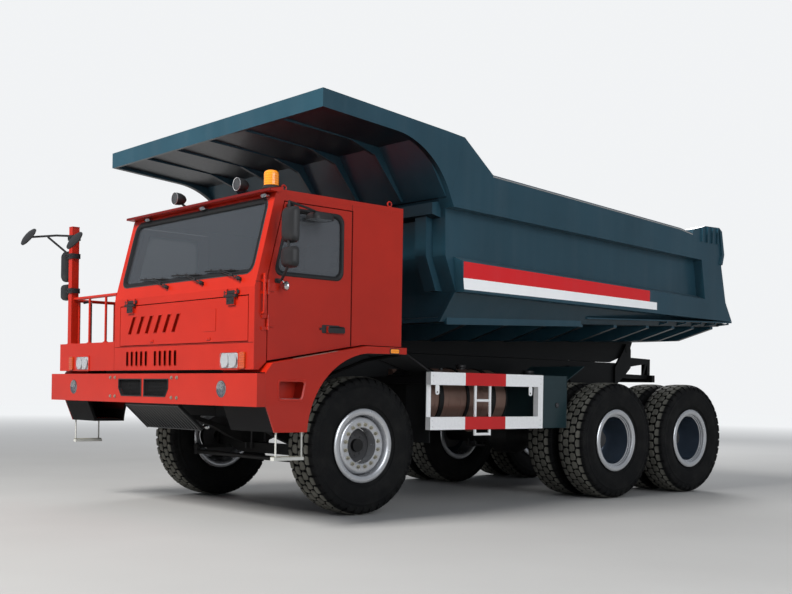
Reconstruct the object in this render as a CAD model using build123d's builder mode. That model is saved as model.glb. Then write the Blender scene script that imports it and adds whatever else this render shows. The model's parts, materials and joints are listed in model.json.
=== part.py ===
"""Wide-body mining dump truck, 6x4, with an offset cab and a canopied tipping body.

Millimetres. X points to the vehicle's left, Y to its rear and Z up. The origin is on the
ground below the middle of the overall box. Side outlines are lists of (station, height):
a station is the distance behind the front axle.
"""
from build123d import *
import math
import os

os.makedirs("parts", exist_ok=True)

# ---------------------------------------------------------------- driving dimensions
running_gap = 9  # between a moving panel and what it closes on
seat_gap = 0.3  # between pieces that rest on each other
pin_gap = 0.5  # round a turning pin or spindle

# wheels and axles
tyre_radius = 670
tyre_width = 380
bead_radius = 318
flange_radius = 360
rim_width = 330
barrel_wall = 18
front_track = 2480
rear_track = 2560
twin_spacing = 460
wheelbase = 3600
axle_spread = 1500
kingpin_x = 980
spindle_radius = 62
axle_tube_radius = 110
hub_spindle_radius = 90

# whole vehicle
body_half_width = 1960
nose_station = -1625
tail_station = 5590

# bumper, cab, deck
bumper_low = 1050
bumper_high = 1330
bumper_depth = 90
plate = 30
cab_left = 1870
mirror_clearance = 110  # from the cab's side to the mirrors
mirror_width = 180
cab_right = -580
cab_wall = 50
cab_front = -1600
cab_low = 1362
cab_rear = 50
cab_roof = 2900
crease_height = 2060
roof_front = -1400
underside_front = (cab_front + 130, 1432)
underside_rear = (-430, 1612)
deck_right = 130 - body_half_width
deck_height = 1650

# frame
rail_outer = 520
rail_width = 100
rail_low = 1160
rail_front_low = 1060
rail_front_top = 1340
rail_top = 1620
rail_step = 250
rail_end = 5200
tail_beam_station = 5850
lamp_depth = 40

# tipping body
bed_half_width = 1930
bed_recess = 120
bed_wall = 55
bed_front = 800
pivot_station = 5300
pivot_height = 1800
pivot_radius = 40
canopy_front = -960
canopy_top = 3830
canopy_lip = 165

# mirror on the mast, which reaches furthest forward
round_mirror_radius = 115
round_mirror_depth = 36
round_mirror_tilt = 55
round_mirror_station = -1880

wheel_height = tyre_radius
mirror_reach = cab_left + mirror_clearance + mirror_width
mid_axle = wheelbase
rear_axle = wheelbase + axle_spread
mirror_half = round_mirror_radius * math.cos(math.radians(round_mirror_tilt))
mirror_half += round_mirror_depth / 2 * math.sin(math.radians(round_mirror_tilt))
front_reach = -round_mirror_station + mirror_half
rear_reach = tail_beam_station + seat_gap + lamp_depth
origin_station = (rear_reach - front_reach) / 2


# ---------------------------------------------------------------- helpers
def at(x, station, height):
    """The point of the model's frame at an X, a station and a height."""
    return (x, station - origin_station, height)


def side_plane(x):
    """A side view's plane: stations run along its x and heights along its y."""
    return Plane(origin=at(x, 0, 0), x_dir=(0, 1, 0), z_dir=(1, 0, 0))


def front_plane(station):
    """A front view's plane, facing forward: X runs along its x and heights along its y."""
    return Plane(origin=at(0, station, 0), x_dir=(1, 0, 0), z_dir=(0, -1, 0))


def side_shape(points, x_from, x_to, mode=Mode.ADD):
    """Extrude a side outline between two X values."""
    with BuildSketch(side_plane(x_from)) as outline:
        with BuildLine():
            Polyline(*points, close=True)
        make_face()
    extrude(outline.sketch, amount=x_to - x_from, mode=mode)


def front_shape(points, station_from, station_to, mode=Mode.ADD):
    """Extrude a front outline of (X, height) points between two stations."""
    with BuildSketch(front_plane(station_to)) as outline:
        with BuildLine():
            Polyline(*points, close=True)
        make_face()
    extrude(outline.sketch, amount=station_to - station_from, mode=mode)


def block(xs, stations, heights, mode=Mode.ADD):
    """A box between two X values, two stations and two heights."""
    centre = at(sum(xs) / 2, sum(stations) / 2, sum(heights) / 2)
    with Locations(centre):
        Box(xs[1] - xs[0], stations[1] - stations[0], heights[1] - heights[0], mode=mode)


def rod(start, end, radius, mode=Mode.ADD):
    """A round bar between two (X, station, height) points."""
    start_point = Vector(*at(*start))
    along = Vector(*at(*end)) - start_point
    with BuildSketch(Plane(origin=start_point, z_dir=along)) as section:
        Circle(radius)
    extrude(section.sketch, amount=along.length, mode=mode)


def turned(points, x, station, height, outward, mode=Mode.ADD):
    """Revolve (distance outward, radius) points about the X line through a centre."""
    placed = [(outward * along, radius) for along, radius in points]
    centre = Plane(origin=at(x, station, height), x_dir=(1, 0, 0), z_dir=(0, -1, 0))
    with BuildSketch(centre) as section:
        with BuildLine():
            Polyline(*placed, close=True)
        make_face()
    revolve(section.sketch, axis=Axis(at(x, station, height), (1, 0, 0)), mode=mode)


def keep(piece, name):
    """Label a finished piece and write its STEP file."""
    piece.part.label = name
    export_step(piece.part, f"parts/{name}.step")


def cab_underside(station):
    """Height of the cab's underside at a station."""
    share = (station - underside_front[0]) / (underside_rear[0] - underside_front[0])
    return underside_front[1] + min(share, 1) * (underside_rear[1] - underside_front[1])


sides = (("left", 1), ("right", -1))

# ---------------------------------------------------------------- chassis frame
tail_beam_top = 1690
tail_beam_depth = 55
rail_outline = [
    (nose_station + bumper_depth + seat_gap, rail_front_low),
    (rail_step, rail_front_low),
    (rail_step + 400, rail_low),
    (rear_axle - 150, rail_low),
    (rail_end, rail_top - 170),
    (rail_end + 60, rail_top - 60),
    (tail_beam_station, tail_beam_top - tail_beam_depth),
    (tail_beam_station, tail_beam_top),
    (pivot_station + 92, tail_beam_top + 12),
    (pivot_station + 80, rail_top),
    (rail_step + 300, rail_top),
    (rail_step, rail_front_top),
    (nose_station + bumper_depth + seat_gap, rail_front_top),
]
rail_inner = rail_outer - rail_width
rail_wall = 16
# station, height and radius of each cross tube
cross_tubes = ((-1350, 1200, 55), (1240, 1440, 60), (3750, 1400, 60), (4900, 1400, 60))
hoist_base = (1900, 1290)
lamp_bar_half = 600
lamp_bar_depth = 95
pivot_inner = 425
lamp_bar_low = 1375
trunnion = (mid_axle + axle_spread / 2, 700)
with BuildPart() as frame:
    side_shape(rail_outline, rail_inner, rail_outer)
    with BuildSketch(side_plane(rail_inner)) as pocket:
        with BuildLine():
            Polyline(*rail_outline, close=True)
        make_face()
        offset(amount=-rail_wall, kind=Kind.INTERSECTION)
    extrude(pocket.sketch, amount=rail_width - rail_wall, mode=Mode.SUBTRACT)
    # trunnion bracket and pivot ear on the outside of the rail
    side_shape(
        [
            (trunnion[0] - 260, rail_top - 60),
            (trunnion[0] - 110, trunnion[1] - 90),
            (trunnion[0] + 110, trunnion[1] - 90),
            (trunnion[0] + 260, rail_top - 60),
        ],
        rail_outer,
        rail_outer + plate,
    )
    side_shape(
        [
            (pivot_station - 260, rail_low + 150),
            (pivot_station - 60, rail_top - 170),
            (pivot_station + 75, rail_top - 60),
            (pivot_station + 75, pivot_height),
            (pivot_station + 30, pivot_height + 75),
            (pivot_station - 30, pivot_height + 75),
            (pivot_station - 75, pivot_height),
            (pivot_station - 260, rail_top - 60),
        ],
        rail_outer,
        rail_outer + plate,
    )
    # lower chord and slanted brace of the tail
    chord_top = lamp_bar_low + lamp_bar_depth
    side_shape(
        [
            (rail_end - 60, chord_top + 10),
            (tail_beam_station - 55, chord_top),
            (tail_beam_station - 55, chord_top - 50),
            (rail_end - 60, chord_top - 45),
        ],
        rail_outer - 20,
        rail_outer,
    )
    side_shape(
        [
            (tail_beam_station - 190, chord_top - 25),
            (tail_beam_station - 145, chord_top - 25),
            (tail_beam_station - 55, tail_beam_top - tail_beam_depth + 15),
            (tail_beam_station - 95, tail_beam_top - tail_beam_depth + 15),
        ],
        rail_outer - 20,
        rail_outer,
    )
    # front spring hangers below the rail
    for hanger, top in ((-790, rail_front_low), (770, rail_low)):
        block((rail_inner + 5, rail_outer - 5), (hanger - 35, hanger + 35), (930, top + 5))
    # pedestals under the cab
    for station in (-1300, -200):
        side_shape(
            [
                (station, rail_front_top - 5),
                (station, cab_underside(station) - seat_gap),
                (station + 90, cab_underside(station + 90) - seat_gap),
                (station + 90, rail_front_top - 5),
            ],
            rail_outer - 60,
            rail_outer - 5,
        )
    mirror(about=Plane.YZ)
    for station, height, radius in cross_tubes:
        rod((-rail_outer + 5, station, height), (rail_outer - 5, station, height), radius)
    rod(
        (-rail_outer + 5, *hoist_base),
        (rail_outer - 5, *hoist_base),
        55,
    )
    rod((-rail_outer - 5, *trunnion), (rail_outer + 5, *trunnion), 60)
    # drop struts at the tail, and the cross bar that carries the lamps
    for x_from in (-rail_outer, rail_inner):
        side_shape(
            [
                (tail_beam_station - 60, tail_beam_top - tail_beam_depth + 5),
                (tail_beam_station, tail_beam_top - tail_beam_depth + 5),
                (tail_beam_station, lamp_bar_low),
                (tail_beam_station - 60, lamp_bar_low),
            ],
            x_from,
            x_from + rail_width,
        )
    block(
        (-lamp_bar_half, lamp_bar_half),
        (tail_beam_station - 60, tail_beam_station),
        (lamp_bar_low, lamp_bar_low + lamp_bar_depth),
    )
    rod(
        (-rail_outer - plate - 5, pivot_station, pivot_height),
        (-pivot_inner, pivot_station, pivot_height),
        pivot_radius,
    )
    rod(
        (pivot_inner, pivot_station, pivot_height),
        (rail_outer + plate + 5, pivot_station, pivot_height),
        pivot_radius,
    )
keep(frame, "frame")

with BuildPart() as engine:
    block((-350, 350), (-1000, 400), (930, 1880))
keep(engine, "engine")

shaft_radius = 45
with BuildPart() as driveline:
    front_shape(
        [(-190, 960), (190, 960), (230, 1180), (150, 1360), (-150, 1360), (-230, 1180)],
        400 + seat_gap,
        1150,
    )
    rod((0, 1140, 1130), (0, mid_axle - 265, 850), shaft_radius)
    rod((0, mid_axle - 290, 850), (0, mid_axle - 230 - seat_gap, 850), 70)
keep(driveline, "driveline")

# ---------------------------------------------------------------- front axle and steering
beam_low = 520
beam_high = 625
boss_radius = 70
boss_half = 80
kingpin_radius = 35
with BuildPart() as front_axle:
    front_shape(
        [
            (-kingpin_x, wheel_height - boss_half),
            (-kingpin_x, wheel_height + boss_half - 10),
            (-kingpin_x + 130, wheel_height + 50),
            (-620, beam_high),
            (620, beam_high),
            (kingpin_x - 130, wheel_height + 50),
            (kingpin_x, wheel_height + boss_half - 10),
            (kingpin_x, wheel_height - boss_half),
            (kingpin_x - 160, wheel_height - 80),
            (640, beam_low),
            (-640, beam_low),
            (-kingpin_x + 160, wheel_height - 80),
        ],
        -65,
        65,
    )
    for side in (-1, 1):
        low_end = (side * kingpin_x, 0, wheel_height - boss_half)
        high_end = (side * kingpin_x, 0, wheel_height + boss_half)
        rod(low_end, high_end, boss_radius)
        rod(low_end, high_end, kingpin_radius + pin_gap, mode=Mode.SUBTRACT)
    # leaf springs on top of the beam
    for x_from in (-rail_outer + 5, rail_inner + 5):
        side_shape(
            [
                (-825, 900),
                (-825, 929.7),
                (-790, 929.7),
                (-400, 815),
                (0, 775),
                (400, 815),
                (770, 929.7),
                (805, 929.7),
                (805, 900),
                (520, 800),
                (330, 700),
                (140, beam_high),
                (-140, beam_high),
                (-330, 700),
                (-520, 800),
            ],
            x_from,
            x_from + rail_width - 10,
        )
keep(front_axle, "front_axle")

arm_end = (kingpin_x, -380)
arm_low = 545
arm_thick = 36
ball_radius = 18
spindle_end = front_track / 2 + 85
for name, side in sides:
    pin_x = side * kingpin_x
    with BuildPart() as knuckle:
        # yoke above and below the axle's boss, with the kingpin through both
        gap = boss_half + 4
        lug = 34
        for low, high in ((wheel_height - gap - lug, wheel_height - gap),
                          (wheel_height + gap, wheel_height + gap + lug)):
            rod((pin_x, 0, low), (pin_x, 0, high), boss_radius - 5)
            near = pin_x
            far = pin_x + side * (boss_radius + 38)
            block((min(near, far), max(near, far)), (-62, 62), (low, high))
        wall_near = pin_x + side * (boss_radius + 8)
        wall_far = pin_x + side * (boss_radius + 38)
        block(
            (min(wall_near, wall_far), max(wall_near, wall_far)),
            (-62, 62),
            (wheel_height - gap - lug, wheel_height + gap + lug),
        )
        rod(
            (pin_x, 0, wheel_height - gap - lug),
            (pin_x, 0, wheel_height + gap + lug),
            kingpin_radius,
        )
        rod(
            (wall_far - side * 5, 0, wheel_height),
            (side * spindle_end, 0, wheel_height),
            spindle_radius,
        )
        # steering arm, reaching forward to the track rod's ball
        arm_x = side * arm_end[0]
        with BuildSketch(Plane(at(0, 0, arm_low))) as arm:
            with BuildLine():
                Polyline(
                    (pin_x + side * 50, 40),
                    (pin_x - side * 50, 40),
                    (pin_x - side * 50, -60),
                    (arm_x - side * 28, arm_end[1]),
                    (arm_x + side * 28, arm_end[1]),
                    (pin_x + side * 50, -60),
                    close=True,
                )
            make_face()
            with Locations((arm_x, arm_end[1])):
                Circle(40)
        extrude(arm.sketch, amount=arm_thick)
        rod((pin_x, 0, arm_low + arm_thick - 5), (pin_x, 0, wheel_height - gap - lug + 5), 45)
        rod(
            (arm_x, arm_end[1], arm_low - 5),
            (arm_x, arm_end[1], arm_low + arm_thick + 5),
            ball_radius + pin_gap,
            mode=Mode.SUBTRACT,
        )
    keep(knuckle, f"knuckle_{name}")

rod_radius = 24
with BuildPart() as tie_rod:
    rod_height = arm_low - rod_radius - 14
    rod((-arm_end[0], arm_end[1], rod_height), (arm_end[0], arm_end[1], rod_height), rod_radius)
    for side in (-1, 1):
        rod(
            (side * arm_end[0], arm_end[1], rod_height - 30),
            (side * arm_end[0], arm_end[1], arm_low - 5),
            34,
        )
        rod(
            (side * arm_end[0], arm_end[1], rod_height),
            (side * arm_end[0], arm_end[1], arm_low + arm_thick + 14),
            ball_radius,
        )
keep(tie_rod, "tie_rod")

# ---------------------------------------------------------------- wheels
half_tyre = tyre_width / 2
half_rim = rim_width / 2
flange_thick = 13
bead_half = half_rim - flange_thick - seat_gap
# half of the tyre's section: distance from its middle plane, radius
tyre_half = (
    (bead_half, bead_radius + seat_gap),
    (bead_half, flange_radius + 10),
    (half_tyre, bead_radius + 180),
    (half_tyre - 18, tyre_radius - 35),
    (half_tyre - 44, tyre_radius),
)
tyre_section = list(tyre_half) + [(-along, radius) for along, radius in reversed(tyre_half)]
barrel_radius = bead_radius
well_radius = bead_radius - barrel_wall


def tyre_at(x, station):
    """One tyre, centred on an X and a station."""
    turned(tyre_section, x, station, wheel_height, 1)


front_disc = 20
front_rim = [
    (half_rim, well_radius),
    (half_rim, flange_radius),
    (half_rim - flange_thick, flange_radius),
    (half_rim - flange_thick, barrel_radius),
    (-half_rim + flange_thick, barrel_radius),
    (-half_rim + flange_thick, flange_radius),
    (-half_rim, flange_radius),
    (-half_rim, well_radius),
    (30, well_radius),
    (118, 238),
    (118, 150),
    (-60, 150),
    (-60, spindle_radius + pin_gap),
    (92, spindle_radius + pin_gap),
    (92, 0),
    (112, 0),
    (112, 122),
    (140, 122),
    (140, 244),
    (56, well_radius),
]
for name, side in sides:
    wheel_x = side * front_track / 2
    with BuildPart() as tyre:
        tyre_at(wheel_x, 0)
    keep(tyre, f"tyre_front_{name}")
    with BuildPart() as rim:
        turned(front_rim, wheel_x, 0, wheel_height, side)
    keep(rim, f"rim_front_{name}")

half_twin = twin_spacing / 2
outer_edge = half_twin + half_rim
inner_edge = half_twin - half_rim
hub_end = 190
hub_inner = -235
twin_half = (
    (outer_edge, well_radius),
    (outer_edge, flange_radius),
    (outer_edge - flange_thick, flange_radius),
    (outer_edge - flange_thick, barrel_radius),
    (inner_edge + flange_thick, barrel_radius),
    (inner_edge + flange_thick, flange_radius),
    (inner_edge, flange_radius),
    (inner_edge, well_radius),
    (inner_edge + 15, well_radius),
)
twin_rim = (
    list(twin_half)
    + [(0, 245)]
    + [(-along, radius) for along, radius in reversed(twin_half)]
    + [
        (-inner_edge - 33, well_radius),
        (-20, 236),
        (-20, 150),
        (hub_inner, 150),
        (hub_inner, hub_spindle_radius + pin_gap),
        (110, hub_spindle_radius + pin_gap),
        (110, 0),
        (hub_end, 0),
        (hub_end, 95),
        (hub_end - 40, 130),
        (20, 150),
        (20, 236),
        (inner_edge + 33, well_radius),
    ]
)
for axle_name, station in (("mid", mid_axle), ("rear", rear_axle)):
    for name, side in sides:
        wheel_x = side * rear_track / 2
        with BuildPart() as tyre:
            tyre_at(wheel_x - half_twin, station)
            tyre_at(wheel_x + half_twin, station)
        keep(tyre, f"tyres_{axle_name}_{name}")
        with BuildPart() as rim:
            turned(twin_rim, wheel_x, station, wheel_height, side)
        keep(rim, f"rims_{axle_name}_{name}")

# ---------------------------------------------------------------- driven axles and bogie
axle_end = rear_track / 2 + hub_inner - 8
with BuildPart() as drive_axles:
    for station in (mid_axle, rear_axle):
        turned(
            [
                (-rear_track / 2 - 100, 0),
                (-rear_track / 2 - 100, hub_spindle_radius),
                (-axle_end, hub_spindle_radius),
                (-axle_end, axle_tube_radius),
                (-330, axle_tube_radius),
                (-150, 225),
                (150, 225),
                (330, axle_tube_radius),
                (axle_end, axle_tube_radius),
                (axle_end, hub_spindle_radius),
                (rear_track / 2 + 100, hub_spindle_radius),
                (rear_track / 2 + 100, 0),
            ],
            0,
            station,
            wheel_height,
            1,
        )
    rod((0, mid_axle + 80, 850), (0, rear_axle - 80, 850), shaft_radius)
    rod((0, mid_axle - 230, 850), (0, mid_axle, 850), 90)
    rod((0, rear_axle - 330, 850), (0, rear_axle, 850), 90)
keep(drive_axles, "drive_axles")

pad_height = wheel_height + axle_tube_radius + seat_gap
leaf_in = rail_outer + plate + 25
leaf_out = leaf_in + 110
with BuildPart() as bogie_springs:
    for side in (-1, 1):
        x_from = min(side * leaf_in, side * leaf_out)
        x_to = max(side * leaf_in, side * leaf_out)
        side_shape(
            [
                (mid_axle - 110, pad_height),
                (mid_axle - 110, pad_height + 50),
                (mid_axle + 160, pad_height + 120),
                (trunnion[0], pad_height + 250),
                (rear_axle - 160, pad_height + 120),
                (rear_axle + 110, pad_height + 50),
                (rear_axle + 110, pad_height),
                (rear_axle - 110, pad_height),
                (rear_axle - 160, pad_height + 20),
                (trunnion[0] + 160, pad_height + 40),
                (trunnion[0] + 120, trunnion[1] - 60),
                (trunnion[0] - 120, trunnion[1] - 60),
                (trunnion[0] - 160, pad_height + 40),
                (mid_axle + 160, pad_height + 20),
                (mid_axle + 110, pad_height),
            ],
            x_from,
            x_to,
        )
        near = side * (rail_outer + plate + seat_gap)
        far = side * (leaf_in + 20)
        rod((near, *trunnion), (far, *trunnion), 75)
keep(bogie_springs, "bogie_springs")

# ---------------------------------------------------------------- bumper and radiator guard
# half outline of one air opening in the bumper's middle
opening_gap = 30
opening_low = 1120
opening_high = 1272
lamp_x = 1420
with BuildPart() as bumper:
    side_shape(
        [
            (nose_station, bumper_low),
            (nose_station, bumper_high),
            (nose_station + bumper_depth, bumper_high),
            (nose_station + bumper_depth, bumper_high - 25),
            (nose_station + plate, bumper_high - 25),
            (nose_station + plate, bumper_low + 25),
            (nose_station + bumper_depth, bumper_low + 25),
            (nose_station + bumper_depth, bumper_low),
        ],
        -body_half_width,
        body_half_width,
    )
    for x_from in (-body_half_width, body_half_width - plate):
        block(
            (x_from, x_from + plate),
            (nose_station + 5, nose_station + bumper_depth),
            (bumper_low + 5, bumper_high - 5),
        )
    for side in (-1, 1):
        centre_x = 45
        points = [
            (centre_x + side * opening_gap, opening_high),
            (centre_x + side * 475, opening_high),
            (centre_x + side * 475, opening_low + 70),
            (centre_x + side * 420, opening_low),
            (centre_x + side * opening_gap, opening_low),
        ]
        front_shape(points, nose_station - 5, nose_station + plate + 5, mode=Mode.SUBTRACT)
        rod(
            (side * lamp_x, nose_station - 5, 1195),
            (side * lamp_x, nose_station + plate + 5, 1195),
            66,
            mode=Mode.SUBTRACT,
        )
keep(bumper, "bumper")

guard_front = nose_station + bumper_depth
with BuildPart() as radiator_guard:
    slope_low = (guard_front + 260, 810)
    side_shape(
        [
            (guard_front + seat_gap, rail_front_low - seat_gap),
            (guard_front + 40, rail_front_low - seat_gap),
            (guard_front + 40, bumper_low - 20),
            (slope_low[0] + 16, slope_low[1] + 20),
            (slope_low[0], slope_low[1]),
            (guard_front + seat_gap, bumper_low - 20),
        ],
        -460,
        560,
    )
keep(radiator_guard, "radiator_guard")

# ---------------------------------------------------------------- cab
cab_outline = [
    (cab_front, cab_low),
    (cab_front, crease_height),
    (roof_front, cab_roof - 40),
    (roof_front + 40, cab_roof),
    (cab_rear, cab_roof),
    (cab_rear, underside_rear[1]),
    underside_rear,
    underside_front,
    (cab_front + 50, cab_low),
]
rake = (roof_front - cab_front) / (cab_roof - 40 - crease_height)
door_front = -1465
door_rear = -560
door_low_front = 1440
door_low_rear = 1592
door_top = 2800
door_bend = 2160
door_upper = [
    (door_front, door_bend),
    (door_front + rake * (door_top - door_bend), door_top),
    (door_rear, door_top),
]
# the left door reaches down to the fender, the right one stops above the deck
door_outlines = {
    1: [(door_front, door_low_front)] + door_upper + [(door_rear, door_low_rear)],
    -1: [(door_front, deck_height + 25)] + door_upper + [(door_rear, deck_height + 25)],
}
window_low = 2185
window_high = 2740
window_outline = [
    (door_front + 75, window_low),
    (door_front + 75 + rake * (window_high - window_low), window_high),
    (door_rear - 110, window_high),
    (door_rear - 110, window_low),
]
tunnel_half = 400
tunnel_top = 2000
hatch_left = 1775
hatch_right = -460
hatch_low = 1605
hatch_high = 1985
hatch_thick = 40


def widened(points, amount):
    """Move each point of an outline out of it by an amount."""
    with BuildSketch(side_plane(0)) as shape:
        with BuildLine():
            Polyline(*points, close=True)
        make_face()
        offset(amount=amount, kind=Kind.INTERSECTION)
    return shape.sketch


slope = Vector(0, roof_front - cab_front, cab_roof - 40 - crease_height)
front_wall_back = underside_front[0]  # rear face of the thick wall behind the hatch
rear_wall_front = cab_rear - cab_wall
roof_low = cab_roof - cab_wall
screen_plane = Plane(
    origin=at(0, cab_front, crease_height), x_dir=(1, 0, 0), z_dir=(0, -slope.Z, slope.Y)
)
screen_low = 145
screen_high = 775
screen_margin = 105


def screen_shape(shrink):
    """The windscreen's rounded outline on the raked front, drawn in by an amount."""
    width = cab_left - cab_right - 2 * screen_margin - 2 * shrink
    middle = (cab_left + cab_right) / 2
    with BuildSketch(screen_plane.offset(2)) as shape:
        with Locations((middle, (screen_low + screen_high) / 2)):
            RectangleRounded(width, screen_high - screen_low - 2 * shrink, 70)
    return shape.sketch


hinge_radius = 13
hinge_pin = 7
hinge_out = 16
door_hinges = (1760, 2060)
hatch_hinges = (-240, 1530)
hinge_half = 34  # half length of a moving knuckle
hinge_play = 3
with BuildPart() as cab_shell:
    side_shape(cab_outline, cab_right, cab_left)
    hollow = widened(cab_outline, -cab_wall)
    extrude(hollow.moved(Location((cab_right + cab_wall, 0, 0))),
            amount=cab_left - cab_right - 2 * cab_wall, mode=Mode.SUBTRACT)
    # open below and above, where the floor and the roof are set in
    block((cab_right + cab_wall, cab_left - cab_wall), (front_wall_back, rear_wall_front),
          (cab_low - 5, crease_height), mode=Mode.SUBTRACT)
    block((cab_right - 5, cab_left + 5), (cab_front - 5, cab_rear + 5),
          (roof_low - seat_gap, cab_roof + 5), mode=Mode.SUBTRACT)
    # way for the engine tunnel through the rear wall
    block((-tunnel_half, tunnel_half), (rear_wall_front - 5, cab_rear + 5),
          (cab_low, tunnel_top), mode=Mode.SUBTRACT)
    # thicker front wall behind the hatch
    block((cab_right + 5, cab_left - 5), (cab_front + 10, front_wall_back),
          (cab_low + 80, crease_height - 20))
    block(
        (hatch_right - running_gap, hatch_left + running_gap),
        (cab_front - 5, cab_front + hatch_thick + running_gap),
        (hatch_low - running_gap, hatch_high + running_gap),
        mode=Mode.SUBTRACT,
    )
    for side, x_from in ((-1, cab_right - 5), (1, cab_left - cab_wall - 5)):
        door_hole = widened(door_outlines[side], running_gap)
        extrude(door_hole.moved(Location((x_from, 0, 0))), amount=cab_wall + 10,
                mode=Mode.SUBTRACT)
    extrude(screen_shape(0), amount=-cab_wall - 5, mode=Mode.SUBTRACT)
    # rear window
    block((300, 1300), (cab_rear - cab_wall - 5, cab_rear + 5), (2250, 2650),
          mode=Mode.SUBTRACT)
    # fixed knuckles and pins of the door hinges
    for outer, side in ((cab_left, 1), (cab_right, -1)):
        hinge_x = outer + side * hinge_out
        hinge_station = door_front - running_gap
        for height in door_hinges:
            for low in (height - hinge_half - hinge_play - 26, height + hinge_half + hinge_play):
                rod((hinge_x, hinge_station, low), (hinge_x, hinge_station, low + 26),
                    hinge_radius)
                leaf = (outer - side * 4, hinge_x)
                block((min(leaf), max(leaf)), (hinge_station - 60, hinge_station),
                      (low, low + 26))
            rod((hinge_x, hinge_station, height - hinge_half - 20),
                (hinge_x, hinge_station, height + hinge_half + 20), hinge_pin)
    # fixed knuckles and pins of the hatch hinges
    for hinge_x in hatch_hinges:
        for low in (hinge_x - 60 - hinge_play - 26, hinge_x + 60 + hinge_play):
            rod((low, cab_front - hinge_out, hatch_high + running_gap),
                (low + 26, cab_front - hinge_out, hatch_high + running_gap), hinge_radius)
            block((low, low + 26), (cab_front - hinge_out, cab_front + 4),
                  (hatch_high + running_gap, crease_height - 5))
        rod((hinge_x - 80, cab_front - hinge_out, hatch_high + running_gap),
            (hinge_x + 80, cab_front - hinge_out, hatch_high + running_gap), hinge_pin)
    # low air slots in two groups of five
    for first_x in (-330, 210):
        for index in range(5):
            block((first_x + index * 92, first_x + index * 92 + 42),
                  (cab_front - 5, front_wall_back + 5), (1400, 1545), mode=Mode.SUBTRACT)
keep(cab_shell, "cab_shell")

with BuildPart() as cab_roof_panel:
    side_shape(cab_outline, cab_right, cab_left)
    block((cab_right, cab_left), (cab_front, cab_rear), (roof_low, cab_roof),
          mode=Mode.INTERSECT)
    # visor along the roof's front edge
    side_shape(
        [(roof_front - 75, cab_roof - 25), (roof_front - 75, cab_roof - 5),
         (roof_front + 60, cab_roof + 20), (roof_front + 60, cab_roof - 5),
         (roof_front + 20, cab_roof - 30)],
        cab_right - 25,
        cab_left + 25,
    )
keep(cab_roof_panel, "cab_roof")

pane = 8
with BuildPart() as cab_glazing:
    shape = screen_shape(seat_gap)
    extrude(shape.moved(Location(screen_plane.z_dir * -20)), amount=-pane)
    block((300 + seat_gap, 1300 - seat_gap), (cab_rear - 30, cab_rear - 30 + pane),
          (2250 + seat_gap, 2650 - seat_gap))
keep(cab_glazing, "cab_glazing")


def floor_at(station):
    """Height just above the cab's sloping floor, inside, at a station."""
    rise = (underside_rear[1] - underside_front[1]) / (underside_rear[0] - underside_front[0])
    return cab_underside(station) + cab_wall * math.hypot(1, rise) + seat_gap


tunnel_front = -1180
tunnel_side = tunnel_half + cab_wall
with BuildPart() as cab_floor:
    side_shape(
        [
            (front_wall_back, cab_low),
            (cab_rear, cab_low),
            (cab_rear, floor_at(cab_rear) - seat_gap),
            (underside_rear[0], floor_at(underside_rear[0]) - seat_gap),
            (front_wall_back, floor_at(front_wall_back) - seat_gap),
        ],
        cab_right + cab_wall + seat_gap,
        cab_left - cab_wall - seat_gap,
    )
    # room for the engine tunnel
    block((-tunnel_side - seat_gap, tunnel_side + seat_gap), (tunnel_front - seat_gap, cab_rear),
          (cab_low, cab_roof), mode=Mode.SUBTRACT)
    side_shape(cab_outline, cab_right, cab_left, mode=Mode.INTERSECT)
    block((cab_right, cab_left), (front_wall_back + seat_gap, rear_wall_front - seat_gap),
          (cab_low, cab_roof), mode=Mode.INTERSECT)
keep(cab_floor, "cab_floor")

with BuildPart() as engine_tunnel:
    block((-tunnel_side, tunnel_side), (tunnel_front, rear_wall_front - seat_gap),
          (cab_low, tunnel_top + cab_wall))
    block((-tunnel_half, tunnel_half), (tunnel_front + cab_wall, cab_rear),
          (cab_low - 5, tunnel_top), mode=Mode.SUBTRACT)
    side_shape(cab_outline, cab_right, cab_left, mode=Mode.INTERSECT)
keep(engine_tunnel, "engine_tunnel")

seat_width = 480
seat_front = -800
seat_back = -470
seat_foot = floor_at(seat_front)
with BuildPart() as seats:
    for seat_x in (700, 1390):
        side_shape(
            [
                (seat_front, seat_foot),
                (seat_front, seat_foot + 160),
                (seat_front - 100, seat_foot + 180),
                (seat_front - 100, seat_foot + 280),
                (seat_back + 30, seat_foot + 250),
                (seat_back + 100, seat_foot + 700),
                (seat_back + 120, seat_foot + 920),
                (seat_back + 200, seat_foot + 920),
                (seat_back + 200, seat_foot + 700),
                (seat_back + 140, seat_foot + 200),
                (seat_back, seat_foot + 160),
                (seat_back, floor_at(seat_back)),
            ],
            seat_x - seat_width / 2,
            seat_x + seat_width / 2,
        )
keep(seats, "seats")

wheel_x = 1390
with BuildPart() as dashboard:
    side_shape(
        [
            (front_wall_back + seat_gap, 1960),
            (front_wall_back + seat_gap, 2120),
            (-1440, 2150),
            (-1250, 2130),
            (-1200, 2060),
            (-1230, 1960),
        ],
        cab_right + cab_wall + 10,
        cab_left - cab_wall - 10,
    )
    rod((wheel_x, -1260, 2040), (wheel_x, -1090, 2150), 28)
    hub_plane = Plane(origin=at(wheel_x, -1090, 2150), z_dir=(0, 170, 110))
    with BuildSketch(hub_plane) as steering_rim:
        Circle(225)
        Circle(195, mode=Mode.SUBTRACT)
        Rectangle(400, 45)
        Circle(60)
    extrude(steering_rim.sketch, amount=26)
keep(dashboard, "dashboard")

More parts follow.
